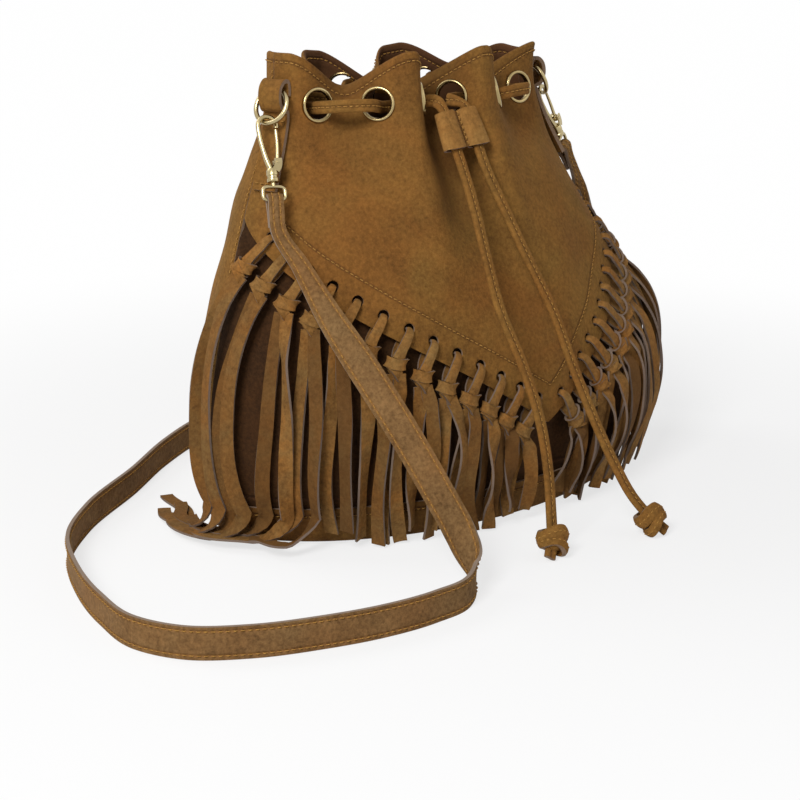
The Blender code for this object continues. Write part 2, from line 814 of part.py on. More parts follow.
def build_slider(parts, mats):
    """Flat sleeve with two channels, extruded along the cords."""
    half_w, half_t = SLIDER_WIDTH / 2, SLIDER_THICKNESS / 2
    corner = 0.0016
    outer = [
        (half_w, half_t - corner),
        (half_w - corner, half_t),
        (0.0022, half_t),
        (0, half_t - 0.0012),
        (-0.0022, half_t),
        (corner - half_w, half_t),
        (-half_w, half_t - corner),
        (-half_w, corner - half_t),
        (corner - half_w, -half_t),
        (-0.0022, -half_t),
        (0, 0.0012 - half_t),
        (0.0022, -half_t),
        (half_w - corner, -half_t),
        (half_w, corner - half_t),
    ]
    loops = [outer]
    for side in (-1, 1):
        x = side * CHANNEL_PITCH / 2
        w, t = CORD_WIDTH / 2 + CHANNEL_GAP, CORD_THICKNESS / 2 + CHANNEL_GAP
        loops.append([(x - w, -t), (x - w, t), (x + w, t), (x + w, -t)])
    obj = extruded("cord_slider", loops, SLIDER_LENGTH, slider_matrix())
    obj.data.materials.append(mats["tan"])
    parts.objects.link(obj)


def cord_end_run(knot, hanging, side):
    """One hanging end, from its knot on the floor up through the slider's channel."""
    matrix = slider_matrix()
    across = matrix.to_3x3() @ Vector((1, 0, 0))
    channel = side * CHANNEL_PITCH / 2
    half = SLIDER_LENGTH / 2
    straight = [
        matrix @ Vector((channel, 0, along))
        for along in (-half - SLIDER_TRAVEL - 0.003, half + 0.0015)
    ]
    places = [Vector(p) for p in (knot, *hanging[::-1])] + straight[:1]
    smooth = even_path([tuple(p) for p in places], END_STEP)[0]
    places = [Vector(p) for p in smooth] + straight[1:]
    return [(place, across) for place in places]


def cord_route():
    """Places and width directions of the drawcord from the left knot to the right knot."""
    upright = Vector((0, 0, 1))
    places = eyelet_places()
    ordered = [u for u in reversed(places) if u < FOLDS[1][0]]
    ordered += [u for u in reversed(places) if u > FOLDS[1][0]]
    route = cord_end_run(LEFT_KNOT, LEFT_END_ROUTE, -1)
    side = 1
    for u in ordered:
        frame = eyelet_frame(u)
        out = frame.to_3x3() @ Vector((0, 0, 1))
        for share in (1.0, 0.5, -0.5, -1.0):
            point = frame.translation + out * (CORD_STANDOFF * share * side)
            point -= upright * CORD_SAG
            route.append((point, upright))
        side = -side
    route += cord_end_run(RIGHT_KNOT, RIGHT_END_ROUTE, 1)[::-1]
    return route


def build_drawcord(parts, cutters, mats):
    route = cord_route()
    places = [tuple(p) for p, _ in route]
    sides = [tuple(s) for _, s in route]
    obj = add_object(
        "drawcord",
        ribbon_mesh("drawcord", places, sides, CORD_WIDTH, CORD_THICKNESS),
        mats["fringe"],
        parts,
    )
    size = (CORD_KNOT_WIDTH, CORD_KNOT_WIDTH, CORD_KNOT_LENGTH)
    knots = [
        ellipsoid("cord_knot", Vector(place), size) for place in (LEFT_KNOT, RIGHT_KNOT)
    ]
    join(obj, knots, cutters)


def tab_frame(side):
    """u of the tab's middle, the wall's place at the ring's top, and two level directions.

    The first direction runs along the wall and the second one outwards from it.
    """
    u = TAB_CENTRE_U if side < 0 else 1 - TAB_CENTRE_U
    place, along, _, _ = wall_frame(u, RING_TOP)
    along = Vector((along.x, along.y, 0)).normalized()
    return u, place, along, along.cross(Vector((0, 0, 1)))


def ring_places(side):
    """Wire centre at the ring's top and bottom."""
    _, place, _, outwards = tab_frame(side)
    top = place + outwards * (TAB_STANDOFF + TAB_THICKNESS + GAP + RING_WIRE)
    down = outwards * RING_LIFT - Vector((0, 0, 2 * RING_RADIUS))
    return top, top + down.normalized() * 2 * RING_RADIUS


def build_tab(parts, mats, side, label):
    """Flat strip that stands on the wall and turns over the ring at its top."""
    u, place, along, outwards = tab_frame(side)
    t = TAB_THICKNESS
    room = RING_WIRE + GAP + ROLL_SLACK
    slope = RING_LIFT / (2 * RING_RADIUS)
    wire = TAB_STANDOFF + t + RING_WIRE + GAP
    heights = np.linspace(TAB_FOOT, RING_TOP - ROLL_HEIGHT, 5)
    section = [
        (Vector(wall(u, z)) - place).dot(outwards) + TAB_STANDOFF for z in heights
    ]
    widest = wire + slope * ROLL_WIDEST + room
    foot = section[-1] + t + GAP
    roll = [
        (TAB_STANDOFF, 0.4 * t + room),
        (TAB_STANDOFF + 0.7 * t, t + room),
        (wire + 0.4 * room, t + room),
        (wire + room + 0.8 * t, 0.5 * room),
        (widest + t, -ROLL_WIDEST),
        (widest + 0.4 * t, -ROLL_WIDEST - 0.0020),
        (foot + 0.6 * t, -ROLL_HEIGHT - 0.2 * t),
        (foot, -ROLL_HEIGHT),
        (foot, -ROLL_HEIGHT + 0.6 * t),
        (widest - 0.3 * t, -ROLL_WIDEST - 0.0010),
        (widest, -ROLL_WIDEST),
        (wire + room, 0.2 * room),
        (wire + 0.3 * room, room),
        (TAB_STANDOFF + t + 0.3 * room, room),
        (TAB_STANDOFF + t, 0.3 * room),
    ]
    base = place.z
    loop = [(x, z - base) for x, z in zip(section, heights)]
    loop += [(x, RING_TOP + y - base) for x, y in roll]
    loop += [(x + t, z - base) for x, z in zip(section[::-1], heights[::-1])]
    matrix = frame_matrix(place, outwards, Vector((0, 0, 1)), -along)
    tab = extruded("ring_tab_" + label, [loop], TAB_WIDTH, matrix)
    tab.data.materials.append(mats["tan"])
    parts.objects.link(tab)


def ring_matrix(side):
    """Frame of a ring: X along the wall, Y towards the ring's top, Z through it."""
    top, bottom = ring_places(side)
    up = (top - bottom).normalized()
    across = tab_frame(side)[2]
    return frame_matrix((top + bottom) / 2, across, up, across.cross(up))


def build_ring(parts, mats, side, label):
    bpy.ops.mesh.primitive_torus_add(
        major_segments=20,
        minor_segments=6,
        major_radius=RING_RADIUS,
        minor_radius=RING_WIRE,
    )
    ring = bpy.context.active_object
    for holder in list(ring.users_collection):
        holder.objects.unlink(ring)
    parts.objects.link(ring)
    ring.name = "ring_" + label
    ring.matrix_world = ring_matrix(side)
    ring.data.materials.append(mats["gold"])


def hook_matrix(side):
    """Frame of a hook: origin on the swivel axis, Y towards the nose, Z across its plane."""
    bottom = ring_places(side)[1]
    up = -HOOK_DROPS[side].normalized()
    facing = tab_frame(side)[2] * -side
    facing = Matrix.Rotation(side * HOOK_TURN, 3, "Z") @ facing
    z_axis = (facing - up * facing.dot(up)).normalized()
    x_axis = up.cross(z_axis)
    seat = NOSE_CENTRE[1] + NOSE_RADIUS - HOOK_WIRE - RING_WIRE - RING_SEAT_GAP
    origin = bottom - up * seat - x_axis * NOSE_CENTRE[0]
    return frame_matrix(origin, x_axis, up, z_axis)


def spine_points():
    """Centre line of the wire: up the long side, over the nose and down to its tip."""
    cx, cy = NOSE_CENTRE
    points = [(0.0, 0.0032, 0), (-0.0016, 0.0062, 0), (-0.0034, 0.0130, 0)]
    points += [(-0.0047, 0.0200, 0)]
    for degrees in range(180, -1, -30):
        angle = math.radians(degrees)
        points.append(
            (cx + NOSE_RADIUS * math.cos(angle), cy + NOSE_RADIUS * math.sin(angle), 0)
        )
    points.append((cx + NOSE_RADIUS - 0.0001, cy - 0.0014, 0))
    return points


def axis_turn(matrix, place):
    """Matrix with local Z along the hook's length, at a place on the hook."""
    return matrix @ Matrix.Translation(place) @ Matrix.Rotation(-math.pi / 2, 4, "X")


def build_hook(parts, cutters, mats, side, label):
    matrix = hook_matrix(side)
    inner = BARREL_RADIUS - BARREL_WALL + 0.0004
    bore = STUD_RADIUS + GAP
    profile = [
        (0.0, BARREL_TOP),
        (0.0021, BARREL_TOP),
        (BARREL_RADIUS, BARREL_TOP - 0.0012),
        (BARREL_RADIUS, BARREL_FOOT + 0.0008),
        (BARREL_RADIUS - 0.0005, BARREL_FOOT),
        (bore, BARREL_FOOT),
        (bore, 0.0004),
        (inner, 0.0004),
        (inner, BARREL_TOP - BARREL_WALL),
        (0.0, BARREL_TOP - BARREL_WALL),
    ]
    body = turned(
        "hook_" + label,
        profile,
        12,
        parts,
        mats["gold"],
        axis_turn(matrix, (0, 0, 0)),
    )
    spine = meshed(wire("spine_" + label, spine_points(), HOOK_WIRE, 1), matrix)
    px, py = PIVOT
    fork = box(
        "fork_" + label,
        (px - 0.0021, 0.0031, -FORK_HALF_WIDTH),
        (px + 0.0021, py + 0.0021, FORK_HALF_WIDTH),
        matrix,
    )
    slot = box(
        "slot_" + label,
        (px - 0.004, py - GATE_EYE_RADIUS - 0.0004, -FORK_SLOT),
        (px + 0.004, py + 0.004, FORK_SLOT),
        matrix,
    )
    drill = cylinder(
        "pin_hole_" + label,
        PIN_RADIUS + GAP,
        0.008,
        matrix @ Matrix.Translation((px, py, 0)),
        12,
    )
    join(body, [fork], cutters)
    join(body, [slot, drill], cutters, "DIFFERENCE")
    join(body, [spine], cutters)

    eye = cylinder(
        "gate_" + label,
        GATE_EYE_RADIUS,
        0.0018,
        matrix @ Matrix.Translation((px, py, -0.0007)),
        12,
    )
    parts.objects.link(eye)
    eye.data.materials.append(mats["gold"])
    tip_x, tip_y = GATE_TIP
    arm_mesh = ribbon_mesh(
        "gate_arm_" + label,
        [
            (px + 0.0002, py + 0.0012, -0.0003),
            (px + 0.0007, py + 0.0050, -0.0001),
            (tip_x + 0.0002, py + 0.0100, 0.0),
            (tip_x, tip_y, 0.0),
        ],
        [(1, 0, 0)] * 4,
        [GATE_WIDTH, GATE_WIDTH, GATE_WIDTH, GATE_WIDTH * 0.8],
        [0.0010, 0.0016, 0.0018, 0.0014],
    )
    arm = bpy.data.objects.new("gate_arm_" + label, arm_mesh)
    arm.matrix_world = matrix
    gate_drill = cylinder(
        "gate_hole_" + label,
        PIN_RADIUS + GAP,
        0.008,
        matrix @ Matrix.Translation((px, py, 0)),
        12,
    )
    join(eye, [arm], cutters)
    join(eye, [gate_drill], cutters, "DIFFERENCE")

    pin = cylinder(
        "gate_pin_" + label,
        PIN_RADIUS,
        2 * FORK_HALF_WIDTH + 0.0004,
        matrix @ Matrix.Translation((px, py, 0)),
        12,
    )
    parts.objects.link(pin)
    pin.data.materials.append(mats["gold"])

    turns, steps = 1.75, 10
    coil = []
    for i in range(int(turns * steps) + 1):
        angle = 2 * math.pi * i / steps + math.pi / 4
        coil.append(
            (
                px + SPRING_RADIUS * math.cos(angle),
                py + SPRING_RADIUS * math.sin(angle),
                0.00075 + 0.00048 * i / steps,
            )
        )
    spring = meshed(wire("gate_spring_" + label, coil, SPRING_WIRE, 0), matrix)
    parts.objects.link(spring)
    spring.data.materials.append(mats["gold"])


def build_swivel_eye(parts, cutters, mats, side, label):
    """Oval eye whose headed stud turns in the hook's barrel."""
    matrix = hook_matrix(side)
    count = 20
    points = []
    for i in range(count):
        angle = 2 * math.pi * i / count
        c, s = math.cos(angle), math.sin(angle)
        points.append(
            (
                EYE_HALF_WIDTH * math.copysign(abs(c) ** EYE_SQUARENESS, c),
                EYE_CENTRE + EYE_HALF_HEIGHT * math.copysign(abs(s) ** EYE_SQUARENESS, s),
                0,
            )
        )
    eye = meshed(wire("swivel_eye_" + label, points, EYE_WIRE, 1, True), matrix)
    parts.objects.link(eye)
    eye.data.materials.append(mats["gold"])
    neck_foot = EYE_CENTRE + EYE_HALF_HEIGHT
    head_foot = 0.0004 + GAP
    head_top = BARREL_TOP - BARREL_WALL - GAP
    neck = cylinder(
        "neck_" + label,
        STUD_RADIUS,
        head_top - 0.0002 - neck_foot,
        axis_turn(matrix, (0, (head_top - 0.0002 + neck_foot) / 2, 0)),
        10,
    )
    head = cylinder(
        "head_" + label,
        STUD_HEAD,
        head_top - head_foot,
        axis_turn(matrix, (0, (head_top + head_foot) / 2, 0)),
        12,
    )
    join(eye, [neck, head], cutters)


def strap_start(side):
    """Turned-back end round the lower bar of the eye, from the cut end outwards."""
    matrix = hook_matrix(side)
    bar = EYE_CENTRE - EYE_HALF_HEIGHT
    turn = EYE_WIRE + GAP + STRAP_THICKNESS / 2 + 0.0001
    layer = STRAP_THICKNESS / 2 + GAP / 2 + 0.0001
    across = matrix.to_3x3() @ Vector((1, 0, 0))
    local = [(bar - STRAP_TURN_BACK, -layer), (bar - 0.0085, -layer)]
    local += [(bar - 0.0040, -layer - 0.0004)]
    for degrees in (-110, -60, -15, 30, 75, 120, 165, 195, 240, 290):
        angle = math.radians(degrees)
        if -20 <= degrees <= 200:
            local.append((bar + turn * math.sin(angle), -turn * math.cos(angle)))
    local += [(bar - 0.0040, layer + 0.0004), (bar - 0.0085, layer)]
    local += [(bar - STRAP_TURN_BACK, layer)]
    return [(matrix @ Vector((0, y, z)), across) for y, z in local]


def build_strap(parts, mats):
    left = strap_start(-1)
    right = strap_start(1)
    route = [(tuple(p), tuple(s)) for p, s in left]
    route += list(STRAP_ROUTE)
    flipped = [(tuple(p), tuple(-s)) for p, s in right[::-1]]
    route += flipped
    places = np.array([p for p, _ in route])
    sides = np.array([s for _, s in route])
    ends = len(left)
    loop_left, loop_right = places[:ends], places[-ends:]
    between = slice(ends - 1, -ends + 1)
    middle, side_middle = even_path(places[between], STRAP_STEP, sides[between])
    points = np.concatenate([loop_left[:-1], middle, loop_right[1:]])
    widths_dir = np.concatenate([sides[: ends - 1], side_middle, sides[-ends + 1 :]])
    steps = np.linalg.norm(np.diff(points, axis=0), axis=1)
    run = np.concatenate([[0], np.cumsum(steps)])
    turned_length = run[ends]
    near = np.minimum(run, run[-1] - run) - turned_length
    width = STRAP_END_WIDTH + (STRAP_WIDTH - STRAP_END_WIDTH) * ease(near / STRAP_TAPER)
    mesh = ribbon_mesh("shoulder_strap", points, widths_dir, width, STRAP_THICKNESS)
    add_object("shoulder_strap", mesh, mats["strap"], parts)


def box_middle(objects):
    """Middle of the level box round the objects, seen from above."""
    bpy.context.view_layer.update()
    graph = bpy.context.evaluated_depsgraph_get()
    corners = [
        obj.matrix_world @ Vector(corner)
        for obj in objects
        for corner in obj.evaluated_get(graph).bound_box
    ]
    return [
        (min(c[axis] for c in corners) + max(c[axis] for c in corners)) / 2
        for axis in (0, 1)
    ]


def set_on_origin(parts, cutters):
    """Move everything so that the bag, without its strap and cord, stands on the origin."""
    bag = [obj for obj in parts.objects if obj.name not in CORD_NAMES]
    x, y = box_middle(bag)
    move = Matrix.Translation((-x, -y, 0))
    for obj in [*parts.all_objects, *cutters.all_objects]:
        obj.matrix_world = move @ obj.matrix_world


def main():
    for obj in list(bpy.data.objects):
        bpy.data.objects.remove(obj, do_unlink=True)
    scene = bpy.context.scene
    parts = bpy.data.collections.new(OBJECT_NAME)
    cutters = bpy.data.collections.new("cutters")
    scene.collection.children.link(parts)
    scene.collection.children.link(cutters)
    cutters.hide_render = True
    mats = {
        "tan": material("tan_suede", SUEDE_TAN, 0.95),
        "deep": material("shaded_suede", SUEDE_DEEP, 0.95),
        "fringe": material("fringe_suede", SUEDE_FRINGE, 0.95),
        "strap": material("strap_suede", STRAP_BROWN, 0.92),
        "gold": material("pale_gold_plate", PALE_GOLD, 0.25, 1.0),
    }
    build_panels(parts, cutters, mats)
    build_tassels(parts, cutters, mats)
    build_eyelets(parts, mats)
    build_slider(parts, mats)
    build_drawcord(parts, cutters, mats)
    for side, label in ((-1, "left"), (1, "right")):
        build_tab(parts, mats, side, label)
        build_ring(parts, mats, side, label)
        build_hook(parts, cutters, mats, side, label)
        build_swivel_eye(parts, cutters, mats, side, label)
    build_strap(parts, mats)
    set_on_origin(parts, cutters)


if __name__ == "__main__":
    main()
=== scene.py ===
"""Fringed suede drawstring bag, dressed over its CAD frame, with floor, lights and camera."""

import logging
import math
from dataclasses import dataclass, field
from enum import Enum
from typing import ClassVar

import bpy
import numpy as np
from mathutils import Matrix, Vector

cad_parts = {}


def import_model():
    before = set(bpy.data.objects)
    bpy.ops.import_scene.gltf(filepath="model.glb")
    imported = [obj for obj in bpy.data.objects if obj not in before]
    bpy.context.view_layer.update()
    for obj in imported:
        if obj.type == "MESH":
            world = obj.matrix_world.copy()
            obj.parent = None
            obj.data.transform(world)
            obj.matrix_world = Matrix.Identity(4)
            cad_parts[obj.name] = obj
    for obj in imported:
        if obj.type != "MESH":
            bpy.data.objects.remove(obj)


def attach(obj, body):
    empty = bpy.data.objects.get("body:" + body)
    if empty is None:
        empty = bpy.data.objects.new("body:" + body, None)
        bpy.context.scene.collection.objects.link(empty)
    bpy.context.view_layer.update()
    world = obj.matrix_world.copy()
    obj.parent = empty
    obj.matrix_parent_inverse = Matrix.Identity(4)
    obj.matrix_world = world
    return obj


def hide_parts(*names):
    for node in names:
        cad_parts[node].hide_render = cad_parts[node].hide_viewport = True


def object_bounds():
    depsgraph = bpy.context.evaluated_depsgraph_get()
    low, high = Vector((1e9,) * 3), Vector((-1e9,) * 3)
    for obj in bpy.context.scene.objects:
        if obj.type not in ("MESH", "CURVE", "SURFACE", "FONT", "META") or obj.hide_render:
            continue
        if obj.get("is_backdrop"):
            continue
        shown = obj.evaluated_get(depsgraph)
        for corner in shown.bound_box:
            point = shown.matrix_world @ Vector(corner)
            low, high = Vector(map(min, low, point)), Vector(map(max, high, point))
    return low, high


Array = np.ndarray
Object = bpy.types.Object
Material = bpy.types.Material
Tree = bpy.types.NodeTree
Socket = bpy.types.NodeSocket
LOG = logging.getLogger("bag")
MM = 0.001
UP = np.array((0.0, 0.0, 1.0))
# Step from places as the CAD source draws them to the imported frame.
SHIFT = np.array((-0.0034774765, 0.0042931773, 0.0))
# Thickness of the body's leather.
SUEDE = 1.7 * MM


class Side(Enum):
    """Left or right of the bag, with the sign of x there."""

    LEFT = -1
    RIGHT = 1


# Numbers and curves


def ease(t: Array | float) -> Array:
    """Smooth step 3t^2 - 2t^3 of t clipped to 0 to 1.

    Args:
        t: Any value or array.

    Returns:
        Values from 0 to 1.
    """
    t = np.clip(t, 0, 1)
    return t * t * (3 - 2 * t)


def smooth_curve(at: Array, stations: Array, values: Array) -> Array:
    """Cubic Hermite curve through the values, with slopes from central differences.

    Args:
        at: Where the curve is read.
        stations: Rising stations of the values.
        values: One value or vector for each station.

    Returns:
        The curve's values at each place.
    """
    x = np.asarray(stations, float)
    y = np.asarray(values, float)
    at = np.clip(np.asarray(at, float), x[0], x[-1])
    slope = np.gradient(y, x, axis=0)
    k = np.clip(np.searchsorted(x, at, side="right") - 1, 0, len(x) - 2)
    h = x[k + 1] - x[k]
    t = (at - x[k]) / h
    if y.ndim > 1:
        h = h[..., None]
        t = t[..., None]
    first = (2 * t**3 - 3 * t**2 + 1) * y[k] + (t**3 - 2 * t**2 + t) * h * slope[k]
    return first + (3 * t**2 - 2 * t**3) * y[k + 1] + (t**3 - t**2) * h * slope[k + 1]


def unit(vectors: Array) -> Array:
    """The vectors at length 1.

    Args:
        vectors: Array whose last axis holds x, y and z.

    Returns:
        Array of the same shape.
    """
    vectors = np.asarray(vectors, float)
    return vectors / np.maximum(np.linalg.norm(vectors, axis=-1, keepdims=True), 1e-12)


def distances(points: Array) -> Array:
    """Distance along a polyline at each of its points.

    Args:
        points: Points of the line, n by 3.

    Returns:
        n rising distances that start at 0.
    """
    steps = np.linalg.norm(np.diff(points, axis=0), axis=1)
    return np.concatenate([[0.0], np.cumsum(steps)])


def read_along(at: Array, run: Array, vectors: Array) -> Array:
    """Vectors read between the points of a polyline.

    Args:
        at: Distances along it.
        run: Distance of each of its points.
        vectors: A vector for each of its points, n by 3.

    Returns:
        One vector for each distance.
    """
    return np.stack([np.interp(at, run, vectors[:, k]) for k in range(3)], -1)


def even_path(points: Array, values: Array, step: float) -> tuple[Array, Array]:
    """Smooth curve through the points, read at even steps of length.

    Args:
        points: Points of the route, n by 3.
        values: A vector carried along it, n by k.
        step: Distance between the points that come back.

    Returns:
        The even points and the values at them.
    """
    stations = distances(points)
    fine = np.linspace(0, stations[-1], 40 * len(points))
    line = smooth_curve(fine, stations, points)
    run = distances(line)
    count = max(4, int(round(run[-1] / step)) + 1)
    even = np.interp(np.linspace(0, run[-1], count), run, fine)
    return smooth_curve(even, stations, points), smooth_curve(even, stations, values)


# Surfaces


def tube_faces(rows: int, around: int, joined: bool = False) -> Array:
    """Four-cornered faces of rings of points, closed round each ring.

    Each face joins two neighbours of one ring with the same two of the next. An open
    tube is closed at both ends by faces between points that lie opposite each other.

    Args:
        rows: Number of rings.
        around: Even number of points in each ring.
        joined: Whether the last ring joins the first.

    Returns:
        Corner numbers, faces by 4.
    """
    row = np.arange(rows if joined else rows - 1)[:, None]
    column = np.arange(around)[None, :]
    ahead = (row + 1) % rows
    right = (column + 1) % around
    corners = [
        row * around + column, row * around + right, ahead * around + right, ahead * around + column
    ]
    faces = np.stack(corners, -1).reshape(-1, 4)
    if joined:
        return faces
    k = np.arange(around // 2 - 1)
    cap = np.stack([k, around - 1 - k, around - 2 - k, k + 1], -1)
    return np.concatenate([faces, cap, cap[:, ::-1] + (rows - 1) * around])


def volume(points: Array, faces: Array) -> float:
    """Signed volume: the sum of the boxes that the faces' triangles span from the origin.

    Args:
        points: Points, n by 3.
        faces: Corner numbers, m by 4.

    Returns:
        A volume that is positive where the faces point outwards.
    """
    a, b, c, d = (points[faces[:, k]] for k in range(4))
    return float((np.cross(a, b) * c).sum() + (np.cross(a, c) * d).sum()) / 6


def frames(path: Array, across: Array, joined: bool = False) -> tuple[Array, Array]:
    """Width and thickness directions square to a path.

    Args:
        path: Points of the path, n by 3.
        across: Wanted width direction, one for all or one for each point.
        joined: Whether the path closes on itself.

    Returns:
        Unit width directions and unit thickness directions.
    """
    if joined:
        tangent = unit(np.roll(path, -1, 0) - np.roll(path, 1, 0))
    else:
        tangent = unit(np.gradient(path, axis=0))
    across = np.broadcast_to(across, path.shape)
    width = unit(across - tangent * (across * tangent).sum(1, keepdims=True))
    return width, np.cross(tangent, width)


def sweep(path: Array, across: Array, profile: Array, joined: bool = False) -> Array:
    """Rings of a profile carried along a path.

    Each ring is the path's point plus the profile's x along the width direction and its
    y along the thickness direction.

    Args:
        path: Points of the path, n by 3.
        across: Width direction, one for all or one for each point.
        profile: m by 2, or n by m by 2 where it changes along the path.
        joined: Whether the path closes on itself.

    Returns:
        Rings, n by m by 3.
    """
    width, thick = frames(path, across, joined)
    profile = np.broadcast_to(profile, (len(path),) + profile.shape[-2:])
    rings = path[:, None] + width[:, None] * profile[..., :1]
    return rings + thick[:, None] * profile[..., 1:]


def round_profile(radius: float, sides: int) -> Array:
    """Circle of points.

    Args:
        radius: Radius of the circle.
        sides: Number of points.

    Returns:
        Points, sides by 2.
    """
    angle = 2 * math.pi * np.arange(sides) / sides
    return radius * np.stack([np.cos(angle), np.sin(angle)], -1)


def flat_profile(width: float, thickness: float, cells: int, crown: float = 0.0) -> Array:
    """Flat strip in section: two rows of points with cut edges between them.

    The lower row runs from -x to +x and the upper row back. Both bow by crown times the
    square of the distance from the middle.

    Args:
        width: Width of the strip.
        thickness: Thickness of the strip.
        cells: Faces across the strip.
        crown: Height of the middle above the edges.

    Returns:
        Points, 2 * (cells + 1) by 2.
    """
    x = np.linspace(-1, 1, cells + 1)
    bow = crown * (1 - x * x)
    lower = np.stack([x * width / 2, bow - thickness / 2], -1)
    upper = np.stack([x * width / 2, bow + thickness / 2], -1)
    return np.concatenate([lower, upper[::-1]])


class Surface:
    """Points, faces and marks of one piece, gathered shell by shell.

    A mark on points is "stitch_line", a signed distance in mm plus 100, "along" and
    "across" in mm, or "fold", how deep in a gathered fold it lies, 0 to 1. A mark on
    faces is "cut" or "inner", 0 or 1, or "tone", how much darker that strip of the hide
    is, 0 to 1.
    """

    POINT_MARKS = ("stitch_line", "along", "across", "fold")
    FACE_MARKS = ("cut", "inner", "tone")

    def __init__(self) -> None:
        """Start with nothing."""
        self.points: list[Array] = []
        self.faces: list[Array] = []
        self.marks: list[dict[str, Array]] = []
        self.count = 0

    def add(self, points: Array, faces: Array, **marks: Array | float) -> None:
        """Add one closed shell, turned so that its faces point outwards.

        Args:
            points: Points, in any shape that ends in 3.
            faces: Corner numbers, m by 4.
            marks: Values of the marks, one for all or one for each point or face.
        """
        points = np.asarray(points, float).reshape(-1, 3)
        if volume(points - points.mean(0), faces) < 0:
            faces = faces[:, ::-1]
        values = {}
        for name in self.POINT_MARKS + self.FACE_MARKS:
            size = len(points) if name in self.POINT_MARKS else len(faces)
            value = np.asarray(marks.get(name, 0.0), float)
            values[name] = np.broadcast_to(value.reshape(-1) if value.ndim else value, size)
        self.points.append(points)
        self.faces.append(faces + self.count)
        self.marks.append(values)
        self.count += len(points)

    def piece(self, name: str, material: Material, crease: float = 35.0) -> Object:
        """Make the object, smooth except where faces meet at a sharp angle.

        Args:
            name: Name of the piece.
            material: Its finish.
            crease: Angle in degrees past which an edge stays sharp.

        Returns:
            The new object, at the origin.
        """
        points = np.concatenate(self.points)
        faces = np.concatenate(self.faces)
        mesh = bpy.data.meshes.new(name)
        mesh.vertices.add(len(points))
        mesh.vertices.foreach_set("co", points.astype(np.float32).ravel())
        mesh.loops.add(faces.size)
        mesh.loops.foreach_set("vertex_index", faces.astype(np.int32).ravel())
        mesh.polygons.add(len(faces))
        starts = np.arange(0, faces.size, 4, dtype=np.int32)
        mesh.polygons.foreach_set("loop_start", starts)
        mesh.update(calc_edges=True)
        for mark in self.POINT_MARKS + self.FACE_MARKS:
            domain = "POINT" if mark in self.POINT_MARKS else "FACE"
            values = np.concatenate([marks[mark] for marks in self.marks])
            layer = mesh.attributes.new(mark, "FLOAT", domain)
            layer.data.foreach_set("value", values.astype(np.float32))
        mesh.validate()
        mesh.shade_smooth()
        mesh.set_sharp_from_angle(angle=math.radians(crease))
        mesh.materials.append(material)
        obj = bpy.data.objects.new(name, mesh)
        bpy.context.scene.collection.objects.link(obj)
        return obj


def ellipsoid(
    centre: Array, axes: Array, radii: Array, around: int = 12, rows: int = 9
) -> tuple[Array, Array]:
    """Ellipsoid as rings of latitude from one small cap to the other.

    Args:
        centre: Its centre.
        axes: Three unit axes as rows.
        radii: Three half sizes along the axes.
        around: Points in each ring.
        rows: Number of rings.

    Returns:
        Rings and their faces.
    """
    tilt = np.linspace(-1.45, 1.45, rows)[:, None]
    turn = 2 * math.pi * np.arange(around)[None, :] / around
    local = np.stack(
        [np.cos(tilt) * np.cos(turn), np.cos(tilt) * np.sin(turn), np.sin(tilt) + 0 * turn], -1
    )
    rings = centre + (local * radii) @ np.asarray(axes)
    return rings, tube_faces(rows, around)


def add_ribbon(
    surface: Surface,
    path: Array,
    across: Array,
    width: Array | float,
    thickness: float,
    cells: int = 4,
    crown: Array | float = 0.0,
    joined: bool = False,
    tone: float = 0.0,
) -> None:
    """Add a flat strip along a path, with its two cut edges marked.

    Args:
        surface: Where it goes.
        path: Points of the path, n by 3.
        across: Width direction, one for all or one for each point.
        width: Width, one for all or one for each point.
        thickness: Thickness of the strip.
        cells: Faces across it.
        crown: Bow across it, one for all or one for each point.
        joined: Whether the strip closes on itself.
        tone: How much darker this strip is, 0 to 1.
    """
    rows = len(path)
    width = np.broadcast_to(width, rows)[:, None, None]
    crown = np.broadcast_to(crown, rows)[:, None]
    flat = flat_profile(1.0, 0.0, cells)[None] * width
    bow = crown * (1 - (2 * flat_profile(1.0, 0.0, cells)[None, :, 0]) ** 2)
    half = np.repeat([-0.5, 0.5], cells + 1)[None] * thickness
    profile = np.stack([flat[..., 0], bow + half + 0 * flat[..., 0]], -1)
    around = 2 * (cells + 1)
    faces = tube_faces(rows, around, joined)
    cut = np.zeros(len(faces))
    sides = (rows if joined else rows - 1) * around
    column = np.arange(sides) % around
    cut[:sides] = (column == cells) | (column == around - 1)
    cut[sides:] = 1.0
    along = np.repeat(distances(path), around) / MM
    across_mm = np.broadcast_to(profile[..., 0] / MM, (rows, around))
    rings = sweep(path, across, profile, joined)
    surface.add(rings, faces, cut=cut, along=along, across=across_mm, tone=tone)


def add_rod(surface: Surface, path: Array, radius: Array | float, sides: int = 14) -> None:
    """Add a round rod along an open path.

    Its rings start from one direction for all of it, square to the path's mean run.

    Args:
        surface: Where it goes.
        path: Points of the path, n by 3.
        radius: Radius, one for all or one for each point.
        sides: Points around it.
    """
    mean_run = unit(np.gradient(path, axis=0)).mean(0)
    helper = np.array((0.31, 0.52, 0.79))
    helper = helper - mean_run * (helper @ mean_run) / max(1e-9, (mean_run**2).sum())
    radii = np.broadcast_to(radius, len(path))[:, None, None]
    rings = sweep(path, helper, round_profile(1.0, sides)[None] * radii)
    surface.add(rings, tube_faces(len(path), sides))


